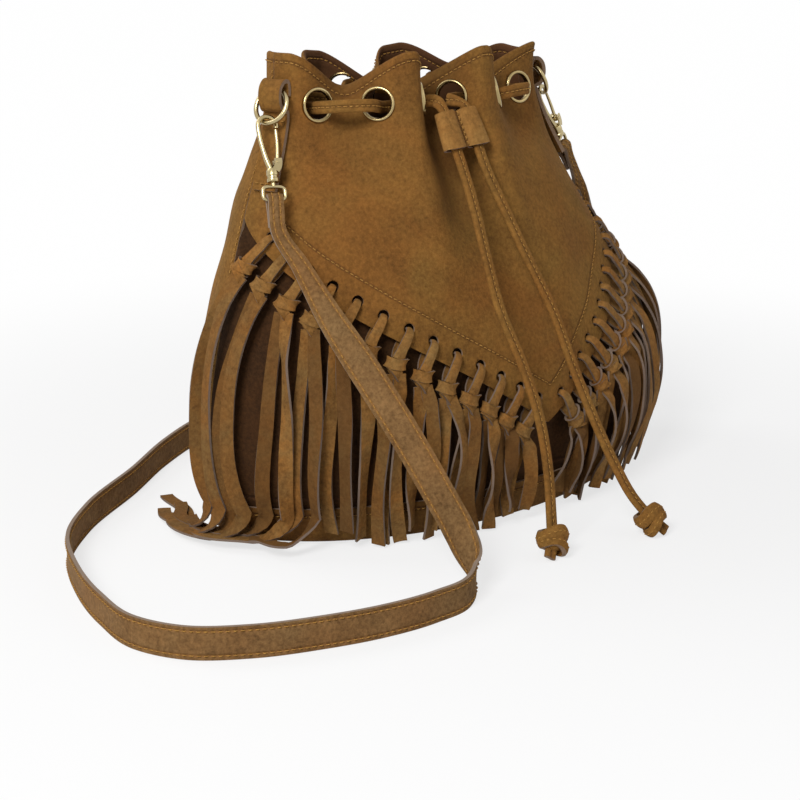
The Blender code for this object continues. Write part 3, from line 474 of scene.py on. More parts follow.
def add_turned(
    surface: Surface, centre: Array, axes: Array, profile: Array, sides: int = 28
) -> None:
    """Add a turned form: the profile's radius and height, carried round an axis.

    Args:
        surface: Where it goes.
        centre: Origin of the axis.
        axes: Three unit axes as rows, of which the last is the turning axis.
        profile: Radius and height of each ring, n by 2.
        sides: Points around it.
    """
    turn = 2 * math.pi * np.arange(sides) / sides
    radius = profile[:, :1]
    rows = len(profile)
    height = np.broadcast_to(profile[:, 1:], (rows, sides))
    local = np.stack([radius * np.cos(turn), radius * np.sin(turn), height], -1)
    surface.add(centre + local @ np.asarray(axes), tube_faces(rows, sides))


def put_on(piece: Object, body: str, node: str) -> None:
    """Put a finished piece on its body in place of a CAD node.

    Args:
        piece: The piece.
        body: Body that it rides on.
        node: Node that it replaces.
    """
    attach(piece, body)
    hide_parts(node)
    LOG.info("%s: %d faces", piece.name, len(piece.data.polygons))


@dataclass(frozen=True)
class StitchLine:
    """One row of machine stitches: short bowed lengths of thread, one at each pitch."""

    pitch: float = 2.7 * MM
    length: float = 2.05 * MM
    thread: float = 0.56 * MM

    # Rings of one stitch: place along its length, height and girth in threads.
    RINGS: ClassVar[Array] = np.array(
        (
            (-0.5, -0.5, 0.55),
            (-0.3, 0.35, 0.95),
            (0.0, 0.6, 1.0),
            (0.3, 0.35, 0.95),
            (0.5, -0.5, 0.55),
        )
    )
    SIDES: ClassVar[int] = 6

    def add(self, surface: Surface, line: Array, outward: Array) -> None:
        """Add the stitches of one row.

        The template's rings are turned into each stitch's own axes: along the row, across
        it and outwards, all stitches in one product of arrays.

        Args:
            surface: Where they go.
            line: Close points of the row on the surface, n by 3.
            outward: Direction out of the surface, one for all or one for each point.
        """
        run = distances(line)
        count = max(1, int(run[-1] / self.pitch))
        at = (np.arange(count) + 0.5) * run[-1] / count
        reach = 0.4 * self.pitch
        place = read_along(at, run, line)
        along = unit(read_along(at + reach, run, line) - read_along(at - reach, run, line))
        out = read_along(at, run, np.broadcast_to(outward, line.shape))
        out = unit(out - along * (out * along).sum(1, keepdims=True))
        axes = np.stack([along, np.cross(out, along), out], 1)
        turn = 2 * math.pi * np.arange(self.SIDES) / self.SIDES
        rings = len(self.RINGS)
        x = np.broadcast_to(self.RINGS[:, :1] * self.length, (rings, self.SIDES))
        thick = self.RINGS[:, 2:] * self.thread / 2
        height = thick * np.sin(turn) + self.RINGS[:, 1:2] * self.thread
        local = np.stack([x, thick * np.cos(turn), height], -1).reshape(-1, 3)
        points = place[:, None] + np.einsum("kj,sji->ski", local, axes)
        faces = tube_faces(rings, self.SIDES)
        if volume(points[0] - points[0].mean(0), faces) < 0:
            faces = faces[:, ::-1]
        every = (faces[None] + len(local) * np.arange(count)[:, None, None]).reshape(-1, 4)
        surface.add(points, every)


# Finishes


def linear(colour: str, alpha: float = 1.0) -> tuple[float, float, float, float]:
    """Linear colour of an sRGB hex value.

    Args:
        colour: Hex value such as "#8c6a35".
        alpha: Alpha that comes back with it.

    Returns:
        Red, green, blue and alpha.
    """
    share = [int(colour[k : k + 2], 16) / 255 for k in (1, 3, 5)]
    low = [c / 12.92 if c <= 0.04045 else ((c + 0.055) / 1.055) ** 2.4 for c in share]
    return (low[0], low[1], low[2], alpha)


def add_node(
    tree: Tree, kind: str, settings: dict | None = None, inputs: dict | None = None
) -> bpy.types.Node:
    """Add one node with its settings, values and links.

    Args:
        tree: Node tree of the material.
        kind: Type of the node, without the ShaderNode that all their types begin with.
        settings: Properties of the node.
        inputs: Value or linked socket for each input, by name or number.

    Returns:
        The new node.
    """
    node = tree.nodes.new("ShaderNode" + kind)
    for name, value in (settings or {}).items():
        setattr(node, name, value)
    for name, value in (inputs or {}).items():
        if isinstance(value, Socket):
            tree.links.new(value, node.inputs[name])
        else:
            node.inputs[name].default_value = value
    return node


def new_material(name: str) -> tuple[Material, Tree]:
    """An empty node material.

    Args:
        name: Its name.

    Returns:
        The material and its node tree.
    """
    material = bpy.data.materials.new(name)
    material.use_nodes = True
    material.node_tree.nodes.clear()
    return material, material.node_tree


@dataclass(frozen=True)
class SuedeFinish:
    """Split suede, drum-dyed and buffed, so a matt nap that lies lighter and darker.

    The colour wanders in patches where the nap was brushed. Fine grain breaks the light.
    Cut edges show the greyer middle of the hide, and the inner side is darker.
    """

    name: str
    light: str
    dark: str
    warm: str
    edge: str = "#8a7564"
    inner: str = "#4e3120"
    # Sizes of the brushed patches, the mottle, the grain and the nap's own fibres.
    patch: float = 34 * MM
    mottle: float = 5.0 * MM
    grain: float = 1.15 * MM
    nap: float = 0.55 * MM
    bump: float = 0.55
    # How far the shade goes from the light colour to the dark one.
    contrast: float = 0.75
    # How far from a stitch line its groove reaches, in mm.
    stitch_width: float = 1.5

    def noise(
        self, tree: Tree, place: Socket, size: float, detail: float, skew: float = 0.0
    ) -> Socket:
        """Noise whose lumps are about one size across.

        Args:
            tree: Node tree.
            place: Coordinates in metres.
            size: Size of the lumps in metres.
            detail: Detail of the noise.
            skew: Distortion of the noise.

        Returns:
            Factor from 0 to 1.
        """
        node = add_node(
            tree,
            "TexNoise",
            None,
            {
                "Vector": place,
                "Scale": 0.6 / size,
                "Detail": detail,
                "Roughness": 0.6,
                "Distortion": skew,
            },
        )
        return node.outputs["Fac"]

    def make(self) -> Material:
        """Build the material.

        Returns:
            The finished material.
        """
        material, tree = new_material(self.name)
        place = add_node(tree, "TexCoord").outputs["Object"]
        patch = self.noise(tree, place, self.patch, 3.0, 0.6)
        mottle = self.noise(tree, place, self.mottle, 4.0)
        # The grit that shows at 0.5 mm to a pixel is coarser than the real fibres.
        grain = self.noise(tree, place, self.grain, 3.0)
        nap = self.noise(tree, place, self.nap, 2.0)
        brushed = self.noise(tree, place, 0.7 * self.patch, 2.0, 1.2)
        patches = add_node(
            tree, "MapRange", None, {"Value": patch, "From Min": 0.34, "From Max": 0.66}
        ).outputs[0]
        shade = add_node(tree, "Math", {"operation": "MULTIPLY"}, {0: grain, 1: 0.75}).outputs[0]
        for part, weight in ((mottle, 0.22), (nap, 0.30), (brushed, 0.45)):
            shade = add_node(
                tree, "Math", {"operation": "MULTIPLY_ADD"}, {0: part, 1: weight, 2: shade}
            ).outputs[0]
        shade = add_node(
            tree,
            "MapRange",
            None,
            {
                "Value": shade,
                "From Min": 0.66,
                "From Max": 1.10,
                "To Min": 0.0,
                "To Max": self.contrast,
            },
        ).outputs[0]
        # Darker along each groove; on the line above the base's edge this is painted shade.
        groove = self.groove(tree)
        # Layers of colour over the light one: where each lies, its most share, its colour.
        layers = [(patches, 1.0, self.warm), (shade, 1.0, self.dark), (groove, 0.45, self.inner)]
        for mark, share, tint in (
            # fold: painted shade deep in the gathered folds.
            ("fold", 0.55, self.dark),
            ("tone", 0.85, self.dark),
            ("inner", 0.85, self.inner),
            ("cut", 0.8, self.edge),
        ):
            value = add_node(tree, "Attribute", {"attribute_name": mark})
            layers.append((value.outputs["Fac"], share, tint))
        colour = linear(self.light)
        for value, share, tint in layers:
            amount = add_node(
                tree, "Math", {"operation": "MULTIPLY"}, {0: value, 1: share}
            ).outputs[0]
            colour = add_node(
                tree,
                "Mix",
                {"data_type": "RGBA"},
                {"Factor": amount, "A": colour, "B": linear(tint)},
            ).outputs["Result"]
        # The relief: grain, finer nap and coarser mottle stand up, and stitch lines lie deep.
        height = grain
        for part, weight in ((nap, 0.5), (mottle, 0.9), (groove, -1.8)):
            height = add_node(
                tree, "Math", {"operation": "MULTIPLY_ADD"}, {0: part, 1: weight, 2: height}
            ).outputs[0]
        bump = add_node(
            tree, "Bump", None, {"Height": height, "Strength": self.bump, "Distance": 0.5 * MM}
        ).outputs["Normal"]
        rough = add_node(
            tree, "MapRange", None, {"Value": grain, "To Min": 0.82, "To Max": 0.98}
        ).outputs[0]
        shader = add_node(
            tree,
            "BsdfPrincipled",
            None,
            {
                "Base Color": colour,
                "Roughness": rough,
                "Normal": bump,
                "Specular IOR Level": 0.18,
                "Sheen Weight": 0.16,
                "Sheen Roughness": 0.45,
                "Sheen Tint": linear(self.light),
            },
        )
        add_node(tree, "OutputMaterial", None, {"Surface": shader.outputs[0]})
        return material

    def groove(self, tree: Tree) -> Socket:
        """Closeness to a stitch line, 1 on it and 0 past half the groove's width.

        Args:
            tree: Node tree.

        Returns:
            Factor from 0 to 1.
        """
        mark = add_node(tree, "Attribute", {"attribute_name": "stitch_line"})
        signed = add_node(
            tree, "Math", {"operation": "SUBTRACT"}, {0: mark.outputs["Fac"], 1: 100.0}
        )
        away = add_node(tree, "Math", {"operation": "ABSOLUTE"}, {0: signed.outputs[0]})
        return add_node(
            tree,
            "MapRange",
            {"interpolation_type": "SMOOTHSTEP"},
            {
                "Value": away.outputs[0],
                "From Min": 0.0,
                "From Max": self.stitch_width,
                "To Min": 1.0,
                "To Max": 0.0,
            },
        ).outputs[0]


@dataclass(frozen=True)
class ThreadFinish:
    """Twisted polyester thread: slanting plies of about 0.5 mm, nearly matt."""

    name: str = "gold_polyester_thread"
    light: str = "#c2924a"
    dark: str = "#76501f"
    ply: float = 0.5 * MM

    def make(self) -> Material:
        """Build the material.

        Returns:
            The finished material.
        """
        material, tree = new_material(self.name)
        place = add_node(tree, "TexCoord").outputs["Object"]
        wave = add_node(
            tree,
            "TexWave",
            {"bands_direction": "DIAGONAL"},
            {"Vector": place, "Scale": 0.5 / self.ply, "Distortion": 1.5},
        ).outputs["Fac"]
        colour = add_node(
            tree,
            "Mix",
            {"data_type": "RGBA"},
            {"Factor": wave, "A": linear(self.light), "B": linear(self.dark)},
        ).outputs["Result"]
        bump = add_node(tree, "Bump", None, {"Height": wave, "Strength": 0.4, "Distance": 0.1 * MM})
        shader = add_node(
            tree,
            "BsdfPrincipled",
            None,
            {
                "Base Color": colour,
                "Roughness": 0.8,
                "Specular IOR Level": 0.2,
                "Normal": bump.outputs["Normal"],
            },
        )
        add_node(tree, "OutputMaterial", None, {"Surface": shader.outputs[0]})
        return material


@dataclass(frozen=True)
class PlatedFinish:
    """Zinc castings and brass wire, polished and plated pale gold, with faint handling marks."""

    name: str = "pale_gold_plate"
    light: str = "#cfc096"
    dark: str = "#8a774e"
    cloud: float = 7 * MM
    scratch: float = 0.4 * MM

    def make(self) -> Material:
        """Build the material.

        Returns:
            The finished material.
        """
        material, tree = new_material(self.name)
        place = add_node(tree, "TexCoord").outputs["Object"]
        cloud, fine = (
            add_node(
                tree, "TexNoise", None, {"Vector": place, "Scale": 0.6 / size, "Detail": detail}
            ).outputs["Fac"]
            for size, detail in ((self.cloud, 3.0), (self.scratch, 2.0))
        )
        colour = add_node(
            tree,
            "Mix",
            {"data_type": "RGBA"},
            {"Factor": cloud, "A": linear(self.light), "B": linear(self.dark)},
        ).outputs["Result"]
        rough = add_node(
            tree, "MapRange", None, {"Value": cloud, "To Min": 0.16, "To Max": 0.34}
        ).outputs[0]
        bump = add_node(
            tree, "Bump", None, {"Height": fine, "Strength": 0.12, "Distance": 0.05 * MM}
        )
        shader = add_node(
            tree,
            "BsdfPrincipled",
            None,
            {
                "Base Color": colour,
                "Metallic": 1.0,
                "Roughness": rough,
                "Normal": bump.outputs["Normal"],
            },
        )
        add_node(tree, "OutputMaterial", None, {"Surface": shader.outputs[0]})
        return material


@dataclass
class Finishes:
    """The made materials."""

    tan: Material
    # Lower front panel: darkened as painted shade under the fringe.
    lower: Material
    base: Material
    fringe: Material
    cord: Material
    strap: Material
    sleeve: Material
    thread: Material
    metal: Material
    eyelet: Material

    @classmethod
    def make(cls) -> "Finishes":
        """Make every finish once.

        Returns:
            The set of materials.
        """
        return cls(
            tan=SuedeFinish("tan_split_suede", "#8a662f", "#503415", "#8b5c28").make(),
            # Painted shade: far darker than the tan, for the shade under the fringe.
            lower=SuedeFinish(
                "fringe_shade_painted_suede", "#432c16", "#1f1208", "#4b2e14", edge="#56412f"
            ).make(),
            base=SuedeFinish("base_split_suede", "#7b5829", "#452c13", "#7d5324").make(),
            fringe=SuedeFinish(
                "fringe_suede", "#92703f", "#503418", "#9c6930", edge="#786a61", patch=12 * MM
            ).make(),
            cord=SuedeFinish(
                "cord_suede", "#926a32", "#573a18", "#90602a", patch=16 * MM, stitch_width=1.1
            ).make(),
            strap=SuedeFinish(
                "strap_suede",
                "#8d6f47",
                "#563d22",
                "#8a643b",
                edge="#8f8074",
                inner="#9a6a36",
                contrast=0.95,
                stitch_width=1.2,
            ).make(),
            sleeve=SuedeFinish(
                "slider_suede", "#a47b42", "#664520", "#a3733a", edge="#786864", patch=14 * MM
            ).make(),
            thread=ThreadFinish().make(),
            metal=PlatedFinish().make(),
            eyelet=PlatedFinish("rolled_brass_plate", "#c4b081", "#79653d").make(),
        )


# The bag's own form


@dataclass(frozen=True)
class BagForm:
    """The gathered wall, the same functions as in the CAD source.

    A place on it is u, 0 to 1 along the front from left to right and 1 to 2 along the
    back, and z. Each level is an oval with its ends pinched, and each fold pulls the wall
    in by a cosine bump along u.
    """

    heights: tuple = (0.000, 0.025, 0.070, 0.120, 0.165, 0.211, 0.240)
    half_widths: tuple = (0.134, 0.145, 0.147, 0.126, 0.1045, 0.085, 0.084)
    half_depths: tuple = (0.074, 0.082, 0.085, 0.075, 0.061, 0.046, 0.044)
    centre_x: tuple = (0.002, 0.003, 0.006, -0.004, -0.012, -0.0165, -0.017)
    centre_y: tuple = (0.0, 0.0, 0.0, 0.0, 0.0, -0.002, -0.003)
    pinch: float = 0.15
    evening: float = 0.15
    cord_height: float = 0.211
    rim: float = 0.236
    girth: float = 0.42
    # The row of strip holes: height where u is 0, fall for each u, first place and pitch.
    hole_top: float = 0.1676
    hole_slope: float = 0.218
    first_hole: float = 0.078
    hole_pitch: float = 0.0331
    holes_a_side: int = 13
    # Distance from the holes down to the yoke's edge.
    edge_below: float = 0.009
    # Middle and half length along u, depth at the cord and at the rim, foot, dip of the rim.
    folds: tuple = (
        (0.195, 0.140, 0.013, 0.020, 0.160, 0.0170),
        (0.460, 0.120, 0.027, 0.033, 0.100, 0.0190),
        (0.735, 0.140, 0.013, 0.020, 0.160, 0.0150),
        (1.200, 0.140, 0.013, 0.019, 0.160, 0.0140),
        (1.500, 0.120, 0.018, 0.023, 0.130, 0.0150),
        (1.800, 0.140, 0.013, 0.019, 0.160, 0.0140),
    )
    # Middle and half length along u, and depth, of two long dips in the rim.
    rim_dips: tuple = ((1.000, 0.220, 0.0075), (1.500, 0.420, 0.0070))
    # Length, slant in radians, phase and height of each soft crease wave.
    waves: tuple = (
        (0.118, 1.15, 0.4, 0.0011),
        (0.074, 0.55, 2.1, 0.0007),
        (0.052, 2.45, 4.0, 0.00045),
        (0.036, 1.90, 1.2, 0.00025),
    )

    @staticmethod
    def bump(u: Array, fold: tuple) -> Array:
        """Share of a fold at u: half a cosine wave either side of its middle.

        Args:
            u: Places along the wall.
            fold: One row of folds.

        Returns:
            0 to 1.
        """
        middle, half = fold[:2]
        away = np.minimum(np.abs(u - middle), half)
        return 0.5 + 0.5 * np.cos(np.pi * away / half)

    def rim_height(self, u: Array) -> Array:
        """Height of the top edge, which dips in each fold.

        Args:
            u: Places along the wall.

        Returns:
            Heights.
        """
        dips = sum(dip[2] * self.bump(u, dip) for dip in self.rim_dips)
        return self.rim - dips - sum(fold[5] * self.bump(u, fold) for fold in self.folds)

    def fold_depth(self, u: Array, z: Array) -> Array:
        """How far the folds pull the wall in: eased in up to the cord, then straight to the rim.

        Args:
            u: Places along the wall.
            z: Heights.

        Returns:
            Depths.
        """
        above = (z - self.cord_height) / (self.rim_height(u) - self.cord_height)
        depth = 0.0
        for fold in self.folds:
            at_cord, at_rim, foot = fold[2:5]
            below = ease((z - foot) / (self.cord_height - foot)) * at_cord
            over = at_cord + (at_rim - at_cord) * np.clip(above, 0, 1)
            depth = depth + self.bump(u, fold) * np.where(z < self.cord_height, below, over)
        return depth

    def creases(self, u: Array, z: Array) -> Array:
        """Soft creases: a sum of slanting sine waves, faded out at the cord, base and sides.

        Args:
            u: Places along the wall.
            z: Heights.

        Returns:
            How far the wall moves outwards.
        """
        s = u * self.girth
        total = sum(
            high * np.sin(2 * np.pi * (s * np.cos(slant) + z * np.sin(slant)) / length + phase)
            for length, slant, phase, high in self.waves
        )
        off_cord = ease((np.abs(z - self.cord_height) - 0.009) / 0.022)
        off_base = ease((z - 0.012) / 0.03)
        off_side = ease((np.abs(u - np.round(u)) - 0.045) / 0.05)
        return total * off_cord * off_base * off_side

    def wall(self, u: Array, z: Array, offset: Array | float = 0.0) -> Array:
        """Points on the outer face, moved outwards by an offset.

        Args:
            u: Places along the wall.
            z: Heights.
            offset: Distance outwards.

        Returns:
            Points.
        """
        u, z, offset = np.broadcast_arrays(np.asarray(u, float), z, offset)
        psi = np.pi * (1 + u)
        phi = psi + self.evening * np.sin(2 * psi)
        half_width = smooth_curve(z, self.heights, self.half_widths)
        half_depth = smooth_curve(z, self.heights, self.half_depths)
        sine = np.sin(phi)
        size = np.abs(sine)
        x = half_width * np.cos(phi) + smooth_curve(z, self.heights, self.centre_x)
        y = half_depth * np.sign(sine) * size ** (1 + self.pinch)
        y = y + smooth_curve(z, self.heights, self.centre_y)
        slope = (1 + self.pinch) * (size + 1e-4) ** self.pinch * np.cos(phi)
        normal = unit(np.stack([half_depth * slope, half_width * sine, 0 * x], -1))
        move = offset - self.fold_depth(u, z) + self.creases(u, z)
        return np.stack([x, y, z], -1) + normal * move[..., None] + SHIFT

    def frame(
        self, u: Array, z: Array, offset: Array | float = 0.0
    ) -> tuple[Array, Array, Array, Array]:
        """Place with directions along the wall, up it and outwards, by small differences.

        Args:
            u: Places along the wall.
            z: Heights.
            offset: Distance outwards.

        Returns:
            Place, along, up and out.
        """
        step = 4e-4
        place = self.wall(u, z, offset)
        along = unit(self.wall(u + step, z, offset) - self.wall(u - step, z, offset))
        up = unit(self.wall(u, z + step, offset) - self.wall(u, z - step, offset))
        out = unit(np.cross(along, up))
        return place, along, up, out

    def hole_height(self, u: Array) -> Array:
        """Height of the row of strip holes, falling from each side to the middle.

        Args:
            u: Places along the front.

        Returns:
            Heights.
        """
        return self.hole_top - self.hole_slope * np.minimum(u, 1 - u)

    def edge_height(self, u: Array) -> Array:
        """Height of the yoke's lower edge.

        Args:
            u: Places along the front.

        Returns:
            Heights.
        """
        return self.hole_height(u) - self.edge_below

    def lower_offset(self, u: Array, z: Array) -> Array:
        """The lower panel goes in behind the yoke's edge, with room there for the strips.

        Args:
            u: Places along the front.
            z: Heights.

        Returns:
            Offsets.
        """
        off_side = ease(np.minimum(u, 1 - u) / 0.06)
        reach = 10 * MM + 40 * MM * off_side
        rise = ease((z - self.edge_height(u) + reach) / (0.8 * reach))
        below_top = 1 - ease((z - self.hole_height(u) - 3 * MM) / (7 * MM))
        return -rise * (SUEDE + 0.3 * MM + 2.8 * MM * below_top * off_side)

    def hole_places(self) -> Array:
        """The u of the 26 strip holes, 13 on each side of the middle.

        Returns:
            Places along the front.
        """
        left = self.first_hole + self.hole_pitch * np.arange(self.holes_a_side)
        return np.concatenate([left, 1 - left[::-1]])

    def edge_axes(self, u: float) -> tuple[Array, Array]:
        """Place of a hole, and axes along the yoke's edge, up across it and outwards.

        Args:
            u: Its place.

        Returns:
            Place, and unit axes as rows.
        """
        step = 1e-3
        place, _, _, out = self.frame(np.array(u), self.hole_height(u))
        ends = np.array((u + step, u - step))
        slope = -self.hole_slope if u < 0.5 else self.hole_slope
        height = self.hole_height(u) + slope * np.array((step, -step))
        ahead, behind = self.wall(ends, height)
        along = unit(ahead - behind)
        return place, np.stack([along, unit(np.cross(out, along)), out])

    def knot_place(self, u: float, below: float) -> tuple[float, float]:
        """u and z of the knot that hangs square to the yoke's edge below a hole.

        Args:
            u: Place of the hole.
            below: Distance from the hole to the knot.

        Returns:
            u and z.
        """
        row = float(self.hole_height(u))
        step = 1e-3
        ahead, behind = self.wall(np.array((u + step, u - step)), row)
        per_u = float(np.linalg.norm(ahead - behind)) / (2 * step)
        slope = -self.hole_slope if u < 0.5 else self.hole_slope
        angle = math.atan2(slope, per_u)
        return u + below * math.sin(angle) / per_u, row - below * math.cos(angle)

    def eyelet_places(self) -> Array:
        """The u of the 12 eyelets, one each side of every fold.

        Returns:
            Places along the wall.
        """
        places = [fold[0] + side * fold[1] / 2 for fold in self.folds for side in (-1, 1)]
        return np.sort(places)

    def eyelet_axes(self, u: float) -> tuple[Array, Array]:
        """Centre and axes of one eyelet.

        Args:
            u: Its place.

        Returns:
            Centre, and unit axes as rows of which the last points outwards.
        """
        place, _, _, out = self.frame(np.array(u), self.cord_height, -SUEDE / 2)
        up = unit(UP - out * out[2])
        return place, np.stack([np.cross(up, out), up, out])


@dataclass
class Body:
    """Yoke, lower front panel, back panel and base, cut and sewn in suede."""

    form: BagForm
    # The turned-in hem: its height, its second layer and the rounding of its top.
    hem: float = 8.5 * MM
    hem_extra: float = 1.2 * MM
    hem_round: float = 1.5 * MM
    # Radii of the holes.
    eyelet_hole: float = 7.1 * MM
    strip_hole: float = 2.8 * MM
    # Gap at the side seams, along u, and the panels' lowest height.
    side_gap: float = 0.0018
    foot: float = 4.5 * MM
    stitch_below_rim: float = 4.3 * MM
    stitch_above_holes: float = 11 * MM
    # The base: its top edge, its stitches, its outer face and the rounding of its corner.
    base_edge: float = 20 * MM
    base_stitch: float = 16 * MM
    base_proud: float = 2.1 * MM
    base_inside: float = 0.3 * MM
    base_round: float = 3 * MM
    # Height of a line above the base's edge: a shallow dent, darkened as painted shade.
    base_shadow_line: float = 25 * MM
    # Fold depth at which the painted shade in the folds is darkest.
    fold_shade_depth: float = 24 * MM
    # Distance from a face to the middle of a stitch row on it.
    stitch_proud: float = 0.1 * MM

    def panel(
        self, u: Array, low: Array, high: Array, rows: int, lines: list[Array], hemmed: bool
    ) -> Surface:
        """A panel: one ring for each u, up its outer face and down its inner face.

        A hemmed top is rounded: the last rows climb a quarter circle from both faces. The
        panel without a hem is the lower front one, which goes in behind the yoke's edge.

        Args:
            u: Places of the columns.
            low: Height of the lower edge at each u.
            high: Height of the upper edge at each u.
            rows: Rows up the outer face.
            lines: Heights of its level lines at each u: stitch lines and the painted shade line.
            hemmed: Whether its top is turned in and rounded.

        Returns:
            The panel with all its marks.
        """
        share = np.linspace(0, 1, rows)
        round_off = self.hem_round if hemmed else 0.0
        z = low[:, None] + (high - round_off - low)[:, None] * share[None]
        tuck = np.zeros(rows)
        if hemmed:
            angle = np.radians((22, 44, 66, 84))
            z = np.concatenate([z, high[:, None] - round_off * (1 - np.sin(angle))], 1)
            tuck = np.concatenate([tuck, round_off * (1 - np.cos(angle))])
            folded = self.hem_extra * ease((z - high[:, None] + self.hem) / self.hem_extra)
            face = 0 * z
        else:
            folded = 0.0
            face = self.form.lower_offset(u[:, None], z)
        outer = self.form.wall(u[:, None], z, face - tuck)
        inner = self.form.wall(u[:, None], z, face - SUEDE - folded + tuck)
        rings = np.concatenate([outer, inner[:, ::-1]], 1)
        around = rings.shape[1]
        faces = tube_faces(len(u), around)
        count = (len(u) - 1) * around
        column = np.arange(count) % around
        half = around // 2
        cut = np.zeros(len(faces))
        cut[:count] = (column == around - 1) | ((column == half - 1) & (not hemmed))
        cut[count:] = 1.0
        inside = np.zeros(len(faces))
        inside[:count] = (column >= half) & (column < around - 1)
        # Painted shade: the colour darkens deep in the gathered folds.
        depth = self.form.fold_depth(u[:, None], rings[..., 2]) if hemmed else np.zeros(1)
        gaps = np.stack([rings[..., 2] - line[:, None] for line in lines]) / MM
        nearest = np.take_along_axis(gaps, np.abs(gaps).argmin(0)[None], 0)[0]
        surface = Surface()
        surface.add(
            rings,
            faces,
            cut=cut,
            inner=inside,
            fold=ease(depth / self.fold_shade_depth),
            stitch_line=100 + nearest,
        )
        return surface

    def bore(self, obj: Object, cutter: Surface, material: Material) -> None:
        """Cut holes through a panel and keep the result as its mesh.

        Args:
            obj: The panel.
            cutter: Closed plugs at the holes.
            material: Finish of the cut faces.
        """
        plug = cutter.piece(obj.name + "_plugs", material)
        modifier = obj.modifiers.new("holes", "BOOLEAN")
        modifier.operation = "DIFFERENCE"
        modifier.solver = "MANIFOLD"
        modifier.object = plug
        graph = bpy.context.evaluated_depsgraph_get()
        mesh = bpy.data.meshes.new_from_object(obj.evaluated_get(graph))
        obj.modifiers.clear()
        obj.data = mesh
        bpy.data.objects.remove(plug)

    def plugs(self, back: bool) -> Surface:
        """Closed round plugs at the eyelets, and on the front at the strip holes.

        Args:
            back: Whether the plugs are for the back panel.

        Returns:
            The plugs.
        """
        cutter = Surface()
        through = np.array(((self.eyelet_hole, -5 * MM), (self.eyelet_hole, 5 * MM)))
        for u in self.form.eyelet_places():
            if (u > 1) == back:
                add_turned(cutter, *self.form.eyelet_axes(u), through)
        if not back:
            through = np.array(((self.strip_hole, -2.4 * MM), (self.strip_hole, 2 * MM)))
            for u in self.form.hole_places():
                add_turned(cutter, *self.form.edge_axes(float(u)), through, 14)
        for marks in cutter.marks:
            marks["cut"] = np.ones_like(marks["cut"])
        return cutter

    def build(self, finishes: Finishes) -> None:
        """Make the panels, the base and their stitches.

        Args:
            finishes: The materials.
        """
        form = self.form
        u = np.linspace(self.side_gap, 1 - self.side_gap, 260)
        low = np.full_like(u, self.foot)
        # The line above the base's edge, darkened as painted shade by the groove.
        base_shadow = np.full_like(u, self.base_shadow_line)
        rim = form.rim_height(u)
        holes = form.hole_height(u)
        lines = [rim - self.stitch_below_rim, holes + self.stitch_above_holes]
        panel = self.panel(u, form.edge_height(u), rim, 62, lines, True)
        yoke = panel.piece("yoke_suede", finishes.tan)
        self.bore(yoke, self.plugs(False), finishes.tan)
        put_on(yoke, "bag", "front_yoke")

        # The lower front panel's finish is darkened as painted shade under the fringe.
        panel = self.panel(u, low, holes + 15 * MM, 70, [base_shadow], False)
        front = panel.piece("lower_front_suede", finishes.lower)
        put_on(front, "bag", "front_lower_panel")

        rim = form.rim_height(u + 1)
        panel = self.panel(u + 1, low, rim, 110, [rim - self.stitch_below_rim, base_shadow], True)
        back = panel.piece("back_suede", finishes.tan)
        self.bore(back, self.plugs(True), finishes.tan)
        put_on(back, "bag", "back_panel")
        put_on(self.base(finishes), "bag", "base_panel")
        self.stitches(finishes)

    def base(self, finishes: Finishes) -> Object:
        """Base tray: rings from the middle of the floor out, round the corner and up.

        Args:
            finishes: The materials.

        Returns:
            The piece.
        """
        wall = self.form.wall
        u = np.linspace(0, 2, 241)[:-1]
        foot = wall(u, 0.0, self.base_proud)
        centre = np.array((SHIFT[0], SHIFT[1], 0.0))
        outer = [centre + (foot - centre) * share for share in (0.05, 0.3, 0.55, 0.75, 0.88, 0.95)]
        for angle in np.radians((0, 30, 60, 90)):
            inset = 1.2 * self.base_round * (1 - math.sin(angle))
            lift = self.base_round * (1 - math.cos(angle))
            outer.append(wall(u, lift, self.base_proud - inset))
        outer += [wall(u, z, self.base_proud) for z in (0.008, 0.013, 0.017, self.base_edge)]
        level = 4 * MM
        inner = [wall(u, z, self.base_inside) for z in (self.base_edge, 0.017, 0.013, 0.008, level)]
        floor = wall(u, level, 0.0)
        for share in (0.95, 0.75, 0.5, 0.25, 0.05):
            ring = centre + (floor - centre) * share
            ring[:, 2] = 1.8 * MM
            inner.append(ring)
        rings = np.stack(outer + inner)
        surface = Surface()
        faces = tube_faces(len(rings), len(u))
        cut = np.zeros(len(faces))
        cut[(len(outer) - 1) * len(u) : len(outer) * len(u)] = 1.0
        stitch = 100 + (rings[..., 2] - self.base_stitch) / MM
        surface.add(rings, faces, cut=cut, stitch_line=stitch)
        return surface.piece("base_suede", finishes.base)

    def stitches(self, finishes: Finishes) -> None:
        """Stitch rows: hem outside and inside, yoke, side seams and base edge.

        Args:
            finishes: The materials.
        """
        form = self.form
        row = StitchLine()
        surface = Surface()
        for first in (0.0, 1.0):
            u = np.linspace(first + 0.008, first + 0.992, 900)
            z = form.rim_height(u) - self.stitch_below_rim
            hem_inside = -SUEDE - self.hem_extra - self.stitch_proud
            for offset, sign in ((self.stitch_proud, 1.0), (hem_inside, -1.0)):
                place, _, _, out = form.frame(u, z, offset)
                row.add(surface, place, sign * out)
            z = np.full_like(u, self.base_stitch)
            place, _, _, out = form.frame(u, z, self.base_proud + self.stitch_proud)
            row.add(surface, place, out)
        u = np.linspace(0.008, 0.992, 900)
        z = form.hole_height(u) + self.stitch_above_holes
        place, _, _, out = form.frame(u, z, self.stitch_proud)
        row.add(surface, place, out)
        for seam in (1.009, 1.991):
            z = np.linspace(0.024, 0.228, 300)
            place, _, _, out = form.frame(np.full_like(z, seam), z, self.stitch_proud)
            row.add(surface, place, out)
        obj = surface.piece("body_stitches", finishes.thread, 60)
        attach(obj, "bag")
        LOG.info("%s: %d faces", obj.name, len(obj.data.polygons))


